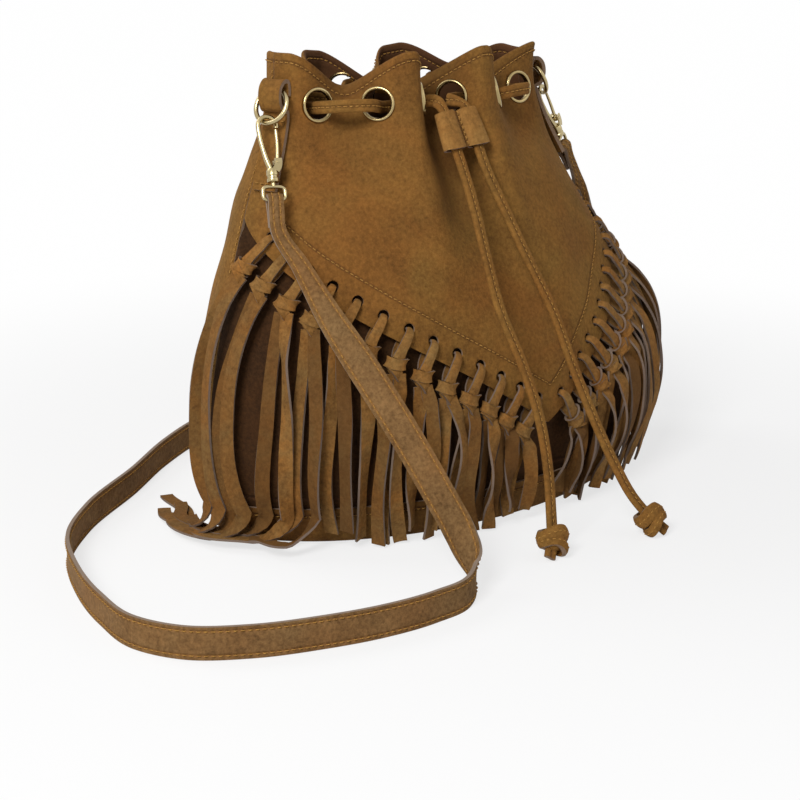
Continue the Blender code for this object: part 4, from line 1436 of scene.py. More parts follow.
@dataclass
class Eyelets:
    """Two-part rolled eyelets: a domed flange outside, a barrel and a flat washer inside."""

    form: BagForm
    hole: float = 6.75 * MM
    flange: float = 8.5 * MM
    dome: float = 0.9 * MM
    washer: float = 0.63 * MM
    sides: int = 48

    def build(self, finishes: Finishes) -> None:
        """Turn each eyelet's section, half a dome outside and half one inside, round its axis.

        Args:
            finishes: The materials.
        """
        middle = (self.hole + self.flange) / 2
        half = (self.flange - self.hole) / 2
        face = SUEDE / 2 + 0.02 * MM
        angle = np.linspace(0, math.pi, 8)
        outer = np.stack([middle + half * np.cos(angle), face + self.dome * np.sin(angle)], -1)
        inner = np.stack([middle - half * np.cos(angle), -face - self.washer * np.sin(angle)], -1)
        radius, height = np.concatenate([outer, inner]).T
        turn = 2 * math.pi * np.arange(self.sides)[:, None] / self.sides
        local = np.stack([radius * np.cos(turn), radius * np.sin(turn), height + 0 * turn], -1)
        for number, u in enumerate(self.form.eyelet_places(), 1):
            centre, axes = self.form.eyelet_axes(float(u))
            surface = Surface()
            surface.add(centre + local @ axes, tube_faces(self.sides, len(radius), True))
            ring = surface.piece(f"eyelet_ring_{number:02d}", finishes.eyelet, 50)
            put_on(ring, "bag", f"eyelet_{number:02d}")


@dataclass
class Fringe:
    """26 suede strips, each looped through its hole, knotted, with two tails."""

    form: BagForm
    width: float = 6.9 * MM
    thickness: float = 1.2 * MM
    # Distance from a hole to its knot, and from the knot's middle to where the tails start.
    knot_below: float = 18.6 * MM
    tail_start: float = 3.5 * MM
    # Most that a tail swings aside, ripples, lifts off the wall and flares at its foot.
    sway: float = 4.6 * MM
    ripple: float = 2.0 * MM
    lift: float = 3.0 * MM
    flare: float = 3.5 * MM
    seed: int = 7
    # How many strips from the left are long enough to lie on the floor.
    lying: int = 4
    # How far the first strips hang back over the side seam.
    swing: dict = field(default_factory=lambda: {1: 0.0120, 2: 0.0075, 3: 0.0040, 26: -0.0080})
    # Line on the floor that the long tails follow, round the bag's left end, and their reach.
    floor_line: tuple = (
        (-0.1130, -0.0660),
        (-0.1335, -0.0400),
        (-0.1445, -0.0170),
        (-0.1515, 0.0060),
        (-0.1490, 0.0260),
        (-0.1405, 0.0450),
        (-0.1310, 0.0680),
        (-0.1200, 0.0860),
    )
    reaches: tuple = (0.078, 0.074, 0.062, 0.046)

    # Lift, half width, depth, band width, tilt and dip of a knot's two bands, in mm.
    BANDS: ClassVar[tuple] = (
        (1.7, 5.0, 3.2, 5.2, 0.26, -1.0),
        (-2.4, 4.5, 2.9, 4.6, -0.44, 0.8),
    )

    def tail(
        self,
        surface: Surface,
        number: int,
        u: float,
        knot: Array,
        side: int,
        rng: np.random.Generator,
    ) -> None:
        """One tail: a strip down the wall that sways and twists as it falls.

        The place is the wall at each height, moved out by a layer height and aside by a
        slow sine. The width direction turns about the strip's own run by another sine.

        Args:
            surface: Where it goes.
            number: Number of the strip.
            u: Its place along the front.
            knot: Centre of its knot.
            side: -1 or 1, left or right tail.
            rng: Random numbers.
        """
        start = knot[2] - self.tail_start
        long_side = number <= self.lying
        end = 1.6 * MM if long_side else (1.2 + 10.5 * rng.random() ** 2) * MM
        share = np.linspace(0, 1, 44)
        z = start + (end - start) * share
        swung = rng.uniform(-1, 1) * self.sway * np.sin(math.pi * share)
        ripple = rng.uniform(-1, 1) * self.ripple * share
        swung = swung + ripple * np.sin(2 * math.pi * share + rng.uniform(0, 6))
        back = self.swing.get(number, 0.0) * np.sin(math.pi * share**0.8)
        swung = swung - back * rng.uniform(0.45, 1.25)
        aside = side * (1.7 + 2.4 * ease(share / 0.45)) * MM + swung
        lift = rng.uniform(0.0, self.lift) * np.sin(math.pi * share) ** 2
        away = (3.8 + 2.2 * share + 3.4 * (side > 0) * ease(share / 0.12)) * MM + lift
        _, along, _, _ = self.form.frame(np.array(u), start)
        flat = unit(np.array((along[0], along[1], 0.0)))
        outward = np.cross(flat, UP)
        path = self.form.wall(np.full_like(z, u), z, away) + flat * aside[:, None]
        if not long_side:
            flare = rng.uniform(0.0, self.flare) * ease((share - 0.75) / 0.25)
            path = path + outward * flare[:, None]
        most = rng.uniform(0.35, 1.25)
        phase = share * rng.uniform(0.25, 0.8) + rng.random()
        twist = most * np.sin(2 * math.pi * phase) * ease(share / 0.22) * (1 - 0.25 * share)
        across = np.broadcast_to(flat, path.shape)
        if long_side:
            path, across, twist = self.lay_down(path, across, twist, number, side, rng)
        width, thick = frames(path, across)
        turned = width * np.cos(twist)[:, None] + thick * np.sin(twist)[:, None]
        run = np.linspace(0, 1, len(path))
        wavy = 1 + 0.04 * np.sin(9 * run + number)
        size = self.width * (0.86 + 0.14 * ease(run / 0.12)) * wavy
        crown = rng.uniform(-0.5, 0.5) * MM * ease(run / 0.1)
        tone = rng.uniform(0.0, 0.95) ** 1.3
        add_ribbon(surface, path, turned, size, self.thickness, 4, crown, tone=tone)

    def lay_down(
        self,
        path: Array,
        across: Array,
        twist: Array,
        number: int,
        side: int,
        rng: np.random.Generator,
    ) -> tuple[Array, Array, Array]:
        """Carry a long tail on over the floor, back along the bag's left end.

        Its foot eases over to the line on the floor and then follows it, each tail a little
        beside the others and on top of those further back. Its width turns from along the
        wall to across that line.

        Args:
            path: The hanging run.
            across: Its width directions.
            twist: Its twist.
            number: Number of the strip.
            side: -1 or 1.
            rng: Random numbers.

        Returns:
            The longer path, its width directions and its twist.
        """
        keep = path[:, 2] > 17 * MM
        path, across, twist = path[keep], across[keep], twist[keep]
        line = np.array(self.floor_line)
        stations = distances(line)
        fine = np.linspace(0, stations[-1], 200)
        close = smooth_curve(fine, stations, line)
        begin = fine[np.linalg.norm(close - path[-1, :2], axis=1).argmin()]
        reach = self.reaches[number - 1] * (0.86 + 0.14 * rng.random()) - 0.010 * (side > 0)
        t = np.linspace(0.06, 1, 24)
        at = np.minimum(begin + 0.004 + reach * t, stations[-1])
        place = smooth_curve(at, stations, line)
        before, after = (smooth_curve(at + step, stations, line) for step in (-MM, MM))
        ahead = unit(after - before)
        beside = np.stack([-ahead[:, 1], ahead[:, 0]], -1)
        waves = np.sin(2 * math.pi * t * rng.uniform(0.7, 1.3) + rng.uniform(0, 6))
        wander = (3.2 * side + 2.4 * waves) * MM
        place = place + beside * wander[:, None]
        over = ease(t * 3.2)
        layer = (0.9 + 1.6 * (number - 1) + 0.7 * (side + 1) * (1 - 0.6 * t)) * MM
        flat = path[-1, :2] + (place - path[-1, :2]) * over[:, None]
        hump = 2.2 * MM * np.sin(math.pi * t) ** 2 * rng.random()
        height = layer + (path[-1, 2] - layer) * (1 - ease(t * 3.6)) + hump
        run = np.concatenate([flat, height[:, None]], 1)
        outward = np.concatenate([beside, np.zeros((len(t), 1))], 1)
        turned = across[-1] + (outward - across[-1]) * over[:, None]
        untwisted = twist[-1] * (1 - over)
        return (
            np.concatenate([path, run]),
            np.concatenate([across, turned]),
            np.concatenate([twist, untwisted]),
        )

    def knot(
        self,
        surface: Surface,
        centre: Array,
        along: Array,
        up: Array,
        out: Array,
        rng: np.random.Generator,
    ) -> None:
        """Overhand knot: two crowned bands wound round a core, tilted against each other.

        Args:
            surface: Where it goes.
            centre: Centre of the knot.
            along: Direction across it.
            up: Direction up the strip.
            out: Direction outwards.
            rng: Random numbers.
        """
        angle = 2 * math.pi * np.arange(26) / 26
        for lift, half, deep, band, tilt, dip in self.BANDS:
            slope = tilt + rng.uniform(-0.1, 0.1)
            height = lift * MM + slope * half * MM * np.cos(angle) + dip * MM * np.sin(angle) ** 2
            path = (
                centre
                + along * (half * MM * np.cos(angle))[:, None]
                + out * (deep * MM * np.sin(angle))[:, None]
                + up * height[:, None]
            )
            add_ribbon(surface, path, up, band * MM, self.thickness, 4, 0.7 * MM, True)
        core = np.array((4.0, 2.6, 4.9)) * MM
        rings, faces = ellipsoid(centre, np.stack([along, out, up]), core)
        surface.add(rings, faces)

    def build(self, finishes: Finishes) -> None:
        """Make each strip.

        Args:
            finishes: The materials.
        """
        rng = np.random.default_rng(self.seed)
        for number, u in enumerate(self.form.hole_places(), 1):
            u = float(u)
            place, axes = self.form.edge_axes(u)
            out = axes[2]
            knot_u, knot_z = self.form.knot_place(u, self.knot_below)
            knot, _, _, knot_out = self.form.frame(np.array(knot_u), knot_z, 0.0026)
            leg = unit(knot - place)
            across = unit(np.cross(knot_out, leg))
            loop = np.array(
                [
                    knot - leg * 0.0035 + knot_out * 0.0012,
                    knot - leg * 0.0075 + knot_out * 0.0016,
                    place + leg * 0.0062 + out * 0.0022,
                    place + leg * 0.0018 + out * 0.0020,
                    place - out * 0.0006,
                    place + leg * 0.0016 - out * 0.0030,
                    place + leg * 0.0080 - out * 0.0032,
                    place + leg * 0.0120 - out * 0.0026,
                    knot - leg * 0.0035 - knot_out * 0.0010,
                ]
            )
            # The strip is narrow where it is squeezed through the hole.
            sizes = np.array((6.0, 5.0, 4.7, 3.9, 3.2, 3.9, 5.4, 6.0, 6.0))[:, None] * MM
            path, size = even_path(loop, sizes, 1.3 * MM)
            surface = Surface()
            add_ribbon(surface, path, across, size[:, 0], self.thickness, 4, -0.5 * MM)
            self.knot(surface, knot, across, -leg, knot_out, rng)
            for side in (-1, 1):
                self.tail(surface, number, knot_u, knot, side, rng)
            strip = surface.piece(f"fringe_strip_{number:02d}", finishes.fringe, 50)
            put_on(strip, "bag", f"tassel_{number:02d}")


@dataclass
class Drawcord:
    """Flat folded cord, sewn down its middle: a run round the mouth and two knotted ends."""

    form: BagForm
    slider: "Slider"
    width: float = 6.2 * MM
    thickness: float = 2.6 * MM
    standoff: float = 5.2 * MM
    sag: float = 1.2 * MM
    knot_size: float = 1.06
    stub: float = 9.6 * MM
    step: float = 2.2 * MM
    stitch: StitchLine = StitchLine(2.9 * MM, 2.1 * MM, 0.6 * MM)
    # The eyelets in the order that the cord goes through them, from the slider's left channel.
    order: tuple = (0.40, 0.265, 0.125, 1.87, 1.73, 1.56, 1.44, 1.27, 1.13, 0.805, 0.665, 0.52)
    # Route points of the two hanging ends, from the slider down, before the shift.
    left_route: tuple = (
        (-0.0300, -0.0690, 0.1590),
        (-0.0320, -0.0790, 0.1380),
        (-0.0320, -0.0890, 0.1140),
        (-0.0285, -0.1010, 0.0890),
        (-0.0265, -0.1110, 0.0640),
        (-0.0280, -0.1190, 0.0400),
        (-0.0325, -0.1260, 0.0200),
    )
    left_knot: tuple = (-0.0375, -0.1320, 0.0082)
    right_route: tuple = (
        (-0.0105, -0.0700, 0.1580),
        (-0.0040, -0.0800, 0.1340),
        (0.0030, -0.0915, 0.1080),
        (0.0070, -0.1010, 0.0830),
        (0.0100, -0.1130, 0.0580),
        (0.0140, -0.1240, 0.0360),
        (0.0180, -0.1340, 0.0190),
    )
    right_knot: tuple = (0.0225, -0.1430, 0.0082)

    # Lift, half width, half depth and band width of the stopper knot's two bands, in mm.
    BANDS: ClassVar[tuple] = ((-2.0, 5.9, 4.7, 6.4), (2.3, 5.4, 4.3, 4.8))

    def profile(self) -> Array:
        """Section of the cord: a rounded oblong with a shallow groove down both faces.

        Returns:
            Points, 16 by 2.
        """
        angle = 2 * math.pi * (np.arange(18) + 0.5) / 18
        x = np.sign(np.cos(angle)) * np.abs(np.cos(angle)) ** 0.62
        y = np.sign(np.sin(angle)) * np.abs(np.sin(angle)) ** 0.72
        groove = 0.24 * np.exp(-((x / 0.17) ** 2)) * np.sign(y)
        return np.stack([x * self.width / 2, (y - groove) * self.thickness / 2], -1)

    def add_cord(self, surface: Surface, threads: Surface, path: Array, across: Array) -> None:
        """Add a length of cord with its stitches on both faces.

        Args:
            surface: Where the cord goes.
            threads: Where its stitches go.
            path: Points of its middle.
            across: Width direction at each point.
        """
        profile = self.profile()
        rings = sweep(path, across, profile)
        middle = 100 + np.broadcast_to(profile[:, 0] / MM, rings.shape[:2])
        surface.add(rings, tube_faces(*rings.shape[:2]), stitch_line=middle)
        _, thick = frames(path, across)
        for sign in (1, -1):
            face = path + sign * thick * (self.thickness * 0.40)
            self.stitch.add(threads, face, sign * thick)

    def end_run(self, side: Side) -> tuple[Array, Array]:
        """One hanging end from the slider's foot down to its knot.

        Args:
            side: Left or right end.

        Returns:
            Even points and the width direction at each.
        """
        route = self.left_route if side is Side.LEFT else self.right_route
        knot = self.left_knot if side is Side.LEFT else self.right_knot
        aside, half = side.value * self.slider.pitch / 2, self.slider.length / 2
        foot = self.slider.inside(aside, 0, -half + 0.5 * MM)
        under = self.slider.inside(aside, 0, -half - 12 * MM)
        points = np.array([foot, under, *(np.array((*route, knot)) + SHIFT)])
        across = np.broadcast_to(self.slider.axes[0], points.shape)
        return even_path(points, across, self.step)

    def mouth_run(self) -> tuple[Array, Array]:
        """The run through the slider and in and out of the eyelets round the mouth.

        Returns:
            Even points and the width direction at each.
        """
        top = self.slider.length / 2
        half = self.slider.pitch / 2
        points = [
            self.slider.inside(-half, 0, -top + 0.002),
            self.slider.inside(-half, 0, 0),
            self.slider.inside(-half, 0, top + 0.0015),
        ]
        across = [self.slider.axes[0]] * 3
        side = 1
        for u in self.order:
            centre, axes = self.form.eyelet_axes(u)
            for share in (1, 0.5, -0.5, -1):
                points.append(centre + axes[2] * (self.standoff * share * side) - UP * self.sag)
                across.append(UP)
            side = -side
        for height in (top + 0.0015, 0.0, -top + 0.002):
            points.append(self.slider.inside(half, 0, height))
            across.append(self.slider.axes[0])
        return even_path(np.array(points), np.array(across), self.step)

    def knot(
        self,
        name: str,
        path: Array,
        across: Array,
        threads: Surface,
        finishes: Finishes,
        turn: float,
    ) -> Object:
        """Stopper knot at an end: wound bands over a core, with the cut end below it.

        Args:
            name: Name of the piece.
            path: The end's path, which stops in the knot's middle.
            across: Width direction along it.
            threads: Where the stitches along its bands go.
            finishes: The materials.
            turn: Tilt of the upper band.

        Returns:
            The piece.
        """
        centre = path[-1]
        down = unit(path[-1] - path[-6])
        wide = unit(across[-1] - down * (across[-1] @ down))
        deep = np.cross(down, wide)
        surface = Surface()
        angle = 2 * math.pi * np.arange(36) / 36
        middles = []
        for sizes in self.BANDS:
            lift, half, depth, band = (self.knot_size * MM * value for value in sizes)
            tilt = turn if lift < 0 else -1.1 * turn
            height = lift + tilt * half * np.cos(angle) + 1.0 * MM * np.cos(2 * angle)
            ring = (
                centre
                + down * height[:, None]
                + wide * (half * np.cos(angle))[:, None]
                + deep * (depth * np.sin(angle))[:, None]
            )
            add_ribbon(surface, ring, down, band, 2.3 * MM, 6, 1.2 * MM, True)
            middles.append(np.concatenate([ring, ring[:1]]))
        core = np.array((5.2, 4.0, 5.6)) * self.knot_size * MM
        surface.add(*ellipsoid(centre, np.stack([wide, deep, down]), core, 20, 13))
        aim = unit(down + 0.25 * wide * np.sign(turn))
        stub = centre + aim * np.linspace(0, self.stub, 8)[:, None]
        rings = sweep(stub, wide, self.profile() * 1.05)
        faces = tube_faces(*rings.shape[:2])
        cut = np.zeros(len(faces))
        cut[(len(stub) - 1) * rings.shape[1] :] = 1.0
        middle_line = np.broadcast_to(self.profile()[:, 0] / MM, rings.shape[:2])
        surface.add(rings, faces, cut=cut, stitch_line=100 + middle_line)
        # The knot's lowest point rests just over the floor.
        low = min(float(points[:, 2].min()) for points in surface.points)
        rise = UP * max(0.0, 0.3 * MM - low)
        surface.points = [points + rise for points in surface.points]
        for middle in middles:
            outward = middle - centre
            outward = unit(outward - down * (outward @ down)[:, None])
            self.stitch.add(threads, middle + rise + outward * 2.1 * MM, outward)
        return surface.piece(name, finishes.cord, 50)

    def build(self, finishes: Finishes) -> None:
        """Make the mouth run, both ends, their knots and their stitches.

        Args:
            finishes: The materials.
        """
        path, across = self.mouth_run()
        surface, threads = Surface(), Surface()
        self.add_cord(surface, threads, path, across)
        run = surface.piece("drawcord_mouth_run", finishes.cord)
        stitches = threads.piece("drawcord_mouth_stitches", finishes.thread, 60)
        for piece in (run, stitches):
            put_on(piece, "bag", "drawcord")
        for side, turn in ((Side.LEFT, -0.22), (Side.RIGHT, 0.18)):
            path, across = self.end_run(side)
            surface, threads = Surface(), Surface()
            self.add_cord(surface, threads, path, across)
            word = side.name.lower()
            cord = surface.piece(f"drawcord_end_{word}", finishes.cord)
            knot = self.knot(f"drawcord_knot_{word}", path, across, threads, finishes, turn)
            stitches = threads.piece(f"drawcord_end_stitches_{word}", finishes.thread, 60)
            for piece in (cord, stitches, knot):
                put_on(piece, "bag", "drawcord")
            length = float(distances(path)[-1])
            tuple(path[0])
            [tuple(p) for p in path]
            LOG.info("drawcord end %s: %.3f m", word, length)


@dataclass
class Slider:
    """Sleeve of suede round both cords, sewn down its middle into two channels."""

    centre: tuple = (-0.026277, -0.045707, 0.1985)
    width: float = 27 * MM
    length: float = 17 * MM
    depth: float = 5.6 * MM
    pitch: float = 15 * MM
    leather: float = 1.3 * MM
    hang: float = 2.4 * MM

    around: int = 28
    rows: int = 13
    stitch: StitchLine = StitchLine(2.5 * MM, 2.0 * MM, 0.65 * MM)

    def __post_init__(self) -> None:
        """Set the sleeve's axes: across, inwards and up the cords."""
        self.axes = np.array(
            ((0.99874, 0.02126, 0.04556), (0.0, 0.90618, -0.42289), (-0.05028, 0.42235, 0.90504))
        )

    def inside(self, x: Array | float, y: Array | float, z: Array | float) -> Array:
        """Point given along the sleeve's own axes.

        Args:
            x: Across.
            y: Through the sleeve.
            z: Up the cords.

        Returns:
            The point.
        """
        local = np.stack(np.broadcast_arrays(np.asarray(x, float), y, z), -1)
        return np.array(self.centre) + local @ self.axes

    def channel(self, side: Side) -> Array:
        """Rings of one channel: up its outer oval, over the top end and down its inner one.

        The ovals squeeze flat towards the middle seam and belly a little between the ends.

        Args:
            side: Left or right channel.

        Returns:
            Rings, twice the rows by the points around.
        """
        turn = 2 * math.pi * np.arange(self.around) / self.around
        cosine = np.sign(np.cos(turn)) * np.abs(np.cos(turn)) ** 0.75
        sine = np.sign(np.sin(turn)) * np.abs(np.sin(turn)) ** 0.85
        lip = 0.5 * MM * np.cos(turn) ** 2
        shares = np.linspace(-1, 1, self.rows)
        rings = []
        for share, wall in [(s, 0.0) for s in shares] + [(s, self.leather) for s in shares[::-1]]:
            belly = 1 + 0.05 * (1 - share * share)
            half = self.pitch / 2 - 0.2 * MM - wall
            deep = self.depth / 2 + 0.35 * MM - wall
            x = 0.93 * (side.value * self.pitch / 2 + half * cosine) * (1.04 - 0.07 * share)
            squeeze = ease((np.abs(x) - 0.2 * MM) / (4.2 * MM)) if wall == 0 else 1.0
            y = deep * belly * sine * (0.35 + 0.65 * squeeze)
            foot = self.hang * max(0.0, -share)
            rings.append(self.inside(x, y, share * (self.length / 2 - lip) - foot))
        return np.stack(rings)

    def build(self, finishes: Finishes) -> None:
        """Make the two channels as one piece, and the stitches down the middle.

        Args:
            finishes: The materials.
        """
        surface, threads = Surface(), Surface()
        for side in Side:
            rings = self.channel(side)
            faces = tube_faces(len(rings), self.around, True)
            cut = np.zeros((len(rings), self.around))
            cut[[self.rows - 1, 2 * self.rows - 1]] = 1.0
            inner = np.zeros_like(cut)
            inner[self.rows : 2 * self.rows - 1] = 1.0
            off_seam = (rings - np.array(self.centre)) @ self.axes[0] / MM
            surface.add(rings, faces, cut=cut, inner=inner, stitch_line=100 + off_seam)
        half = self.length / 2
        z = np.linspace(-half - self.hang + 0.8 * MM, half - 0.6 * MM, 60)
        for sign in (-1, 1):
            line = self.inside(0 * z, sign * 1.15 * MM, z)
            self.stitch.add(threads, line, sign * self.axes[1])
        sleeve = surface.piece("slider_sleeve", finishes.sleeve, 50)
        stitches = threads.piece("slider_stitches", finishes.thread, 60)
        for piece in (sleeve, stitches):
            put_on(piece, "slider", "cord_slider")


@dataclass
class RingFitting:
    """One side's strap fitting: suede tab, round ring, trigger hook and swivel eye."""

    form: BagForm
    side: Side
    ring_centre: tuple
    ring_axes: tuple
    hook_origin: tuple
    hook_axes: tuple
    ring_radius: float = 8.6 * MM
    ring_wire: float = 1.15 * MM
    hook_wire: float = 1.1 * MM
    tab_width: float = 13.6 * MM
    tab_thickness: float = 2.0 * MM
    tab_foot: float = 0.172
    # Place of the tab's middle along the wall, from the side seam, and the top of the ring.
    tab_from_side: float = 0.030
    ring_top: float = 0.2195
    # The swivel eye below the hook: middle of its frame, half height, half width and wire.
    eye_middle: float = 7.8 * MM
    eye_half: float = 3.3 * MM
    eye_half_width: float = 5.4 * MM
    eye_wire: float = 0.9 * MM

    def at(self, x: Array | float, y: Array | float, z: Array | float) -> Array:
        """Point given along the hook's own axes.

        Args:
            x: Across the hook.
            y: Up the hook.
            z: Through it.

        Returns:
            The point.
        """
        local = np.stack(np.broadcast_arrays(np.asarray(x, float), y, z), -1)
        return np.array(self.hook_origin) + local @ np.array(self.hook_axes)

    @property
    def word(self) -> str:
        """The side's name in the names of pieces, bodies and nodes."""
        return self.side.name.lower()

    def tab(self, finishes: Finishes) -> None:
        """Suede tab: a strip up the side wall that rolls over the ring and is sewn down.

        The strip's middle line is a curve in the plane of its run: flat on the wall, then a
        loop out round the ring's wire and back to the wall above it.

        Args:
            finishes: The materials.
        """
        u = self.tab_from_side if self.side is Side.LEFT else 1 - self.tab_from_side
        place, along, _, _ = self.form.frame(np.array(u), self.ring_top)
        along = unit(np.array((along[0], along[1], 0.0)))
        outward = np.cross(along, UP)
        wall_z = np.linspace(self.tab_foot, 0.206, 9)
        wall = self.form.wall(np.full_like(wall_z, u), wall_z)
        reach = (wall - place) @ outward
        flat = np.stack([reach + 0.0016, wall_z], -1)
        roll = np.array(
            (
                (0.0030, 0.2085),
                (0.0062, 0.2098),
                (0.0080, 0.2130),
                (0.0084, 0.2172),
                (0.0070, 0.2212),
                (0.0042, 0.2232),
                (0.0016, 0.2228),
                (0.0007, 0.2200),
                (0.0008, 0.2160),
            )
        )
        route = np.concatenate([flat, roll])
        below = place * (1, 1, 0)
        points = below + outward * route[:, :1] + UP * route[:, 1:]
        path, _ = even_path(points, points, 1.2 * MM)
        surface, threads = Surface(), Surface()
        run = distances(path)
        width = self.tab_width * (1 - 0.10 * ease((run - 0.034) / 0.012))
        add_ribbon(surface, path, along, width, self.tab_thickness, 8, 0.4 * MM)
        row = StitchLine(2.5 * MM, 1.9 * MM)
        for height in (0.1755, 0.2045):
            t = np.linspace(-0.42, 0.42, 40)[:, None] * self.tab_width
            base = self.form.wall(np.array(u), height)
            away = float((base - place) @ outward) + 3 * MM
            line = below + outward * away + UP * height + along * t
            row.add(threads, line, outward)
        tab = surface.piece(f"tab_suede_{self.word}", finishes.tan, 40)
        stitches = threads.piece(f"tab_stitches_{self.word}", finishes.thread, 60)
        for piece in (tab, stitches):
            put_on(piece, "bag", f"ring_tab_{self.word}")

    def ring(self, finishes: Finishes) -> None:
        """Round wire ring: a circle carried round a circle.

        Args:
            finishes: The materials.
        """
        sides, wire = 72, round_profile(self.ring_wire, 16)
        turn = 2 * math.pi * np.arange(sides)[:, None] / sides
        x, y, z = np.array(self.ring_axes)
        path = np.array(self.ring_centre) + self.ring_radius * (np.cos(turn) * x + np.sin(turn) * y)
        surface = Surface()
        rings = sweep(path, z, wire, True)
        surface.add(rings, tube_faces(sides, len(wire), True))
        piece = surface.piece(f"round_ring_{self.word}", finishes.metal, 40)
        put_on(piece, f"ring_{self.word}", f"ring_{self.word}")

    def hook(self, finishes: Finishes) -> None:
        """Cast trigger hook: curved spine and nose, turned barrel and the fork's two cheeks.

        The spine is a rod through its points and half a circle, thicker at its foot.

        Args:
            finishes: The materials.
        """
        spine = ((0, 2.0), (-0.8, 4.5), (-1.6, 6.6), (-3.4, 13.0), (-4.7, 20.0))
        nose = np.radians(np.linspace(180, 0, 13))
        arc = np.stack([-0.7 + 4.4 * np.cos(nose), 25.6 + 4.4 * np.sin(nose)], -1)
        route = np.concatenate([spine, arc, [(3.6, 24.2)]]) * MM
        points = self.at(route[:, 0], route[:, 1], 0.0)
        path, _ = even_path(points, points, 0.9 * MM)
        run = distances(path) / distances(path)[-1]
        surface = Surface()
        add_rod(surface, path, self.hook_wire * (1.35 - 0.35 * ease(run / 0.35)), 16)
        barrel = (
            (2.2, -2.5),
            (2.7, -2.4),
            (2.9, -1.9),
            (2.9, -0.8),
            (2.5, -0.4),
            (2.5, 0.4),
            (2.9, 0.8),
            (2.9, 3.2),
            (2.5, 4.0),
            (1.4, 4.3),
        )
        across, up, through = np.array(self.hook_axes)
        turned = np.stack([through, across, up])
        add_turned(surface, np.array(self.hook_origin), turned, np.array(barrel) * MM)
        cheek_x, cheek_y = np.array(((1.2, 2.3, 2.7, 2.7), (3.0, 4.6, 6.2, 8.8))) * MM
        for face in (-1, 1):
            cheek = self.at(cheek_x, cheek_y, face * 2.25 * MM)
            path, _ = even_path(cheek, cheek, 0.7 * MM)
            add_ribbon(surface, path, across, 3.6 * MM, 0.7 * MM)
        piece = surface.piece(f"trigger_hook_{self.word}", finishes.metal, 40)
        put_on(piece, f"hook_{self.word}", f"hook_{self.word}")

    def gate(self, finishes: Finishes) -> None:
        """Gate: a bowed, tapering arm with a turned eye round its pivot.

        Args:
            finishes: The materials.
        """
        surface = Surface()
        pivot = np.array((2.7, 7.2)) * MM
        tip = np.array((3.3, 23.4)) * MM
        share = np.linspace(0, 1, 14)
        line = pivot + (tip - pivot) * share[:, None]
        arm = self.at(line[:, 0] + 0.4 * MM * np.sin(math.pi * share), line[:, 1], 0.0)
        add_rod(surface, arm, 0.95 * MM * (1.0 - 0.18 * share), 12)
        eye = ((1.2, -0.9), (1.9, -0.9), (2.0, -0.6), (2.0, 0.6), (1.9, 0.9), (1.2, 0.9))
        axes = np.array(self.hook_axes)
        add_turned(surface, self.at(pivot[0], pivot[1], 0.0), axes, np.array(eye) * MM, 20)
        piece = surface.piece(f"hook_gate_{self.word}", finishes.metal, 40)
        put_on(piece, f"gate_{self.word}", f"gate_{self.word}")

    def swivel_eye(self, finishes: Finishes) -> None:
        """Swivel eye: a wire bent to an oblong frame, with a turned neck into the barrel.

        Args:
            finishes: The materials.
        """
        sides, wire = 56, round_profile(self.eye_wire, 12)
        turn = 2 * math.pi * np.arange(sides) / sides
        x = self.eye_half_width * np.sign(np.cos(turn)) * np.abs(np.cos(turn)) ** 0.55
        y = self.eye_half * np.sign(np.sin(turn)) * np.abs(np.sin(turn)) ** 0.55
        loop = self.at(x, y - self.eye_middle, 0.0)
        across, up, through = np.array(self.hook_axes)
        surface = Surface()
        rings = sweep(loop, through, wire, True)
        surface.add(rings, tube_faces(sides, len(wire), True))
        neck = ((1.1, -4.6), (1.0, -4.0), (1.0, -2.0), (1.7, -1.8), (1.7, -0.8), (0.9, -0.6))
        turned = np.stack([through, across, up])
        add_turned(surface, np.array(self.hook_origin), turned, np.array(neck) * MM, 20)
        piece = surface.piece(f"swivel_eye_wire_{self.word}", finishes.metal, 40)
        put_on(piece, "bag", f"swivel_eye_{self.word}")

    def small_parts(self, finishes: Finishes) -> None:
        """Give the gate's pin and spring, which stay as the CAD nodes, the metal finish.

        Args:
            finishes: The materials.
        """
        for node in (f"gate_pin_{self.word}", f"gate_spring_{self.word}"):
            mesh = bpy.data.objects[node].data
            mesh.materials.clear()
            mesh.materials.append(finishes.metal)

    def build(self, finishes: Finishes) -> None:
        """Make every piece of this side's fitting.

        Args:
            finishes: The materials.
        """
        self.tab(finishes)
        self.ring(finishes)
        self.hook(finishes)
        self.gate(finishes)
        self.swivel_eye(finishes)
        self.small_parts(finishes)

    def strap_start(self) -> tuple[Array, Array]:
        """Turned-back end of the strap round the swivel eye's bar.

        Returns:
            Points and the width direction at each.
        """
        bar = -self.eye_middle - self.eye_half
        # The turn's radius is the wire, a gap and half the strap. Below it two layers lie close.
        turn = self.eye_wire + 1.3 * MM
        layer = 1.15 * MM
        flat = ((13.0 * MM, layer), (8.5 * MM, layer), (4.0 * MM, layer + 0.4 * MM))
        rows = [(bar - below, -aside) for below, aside in flat]
        for degrees in (-15, 30, 75, 120, 165, 195):
            angle = math.radians(degrees)
            rows.append((bar + turn * math.sin(angle), -turn * math.cos(angle)))
        rows += [(bar - below, aside) for below, aside in flat[::-1]]
        points = np.array([self.at(0.0, y, z) for y, z in rows])
        return points, np.broadcast_to(np.array(self.hook_axes)[0], points.shape)


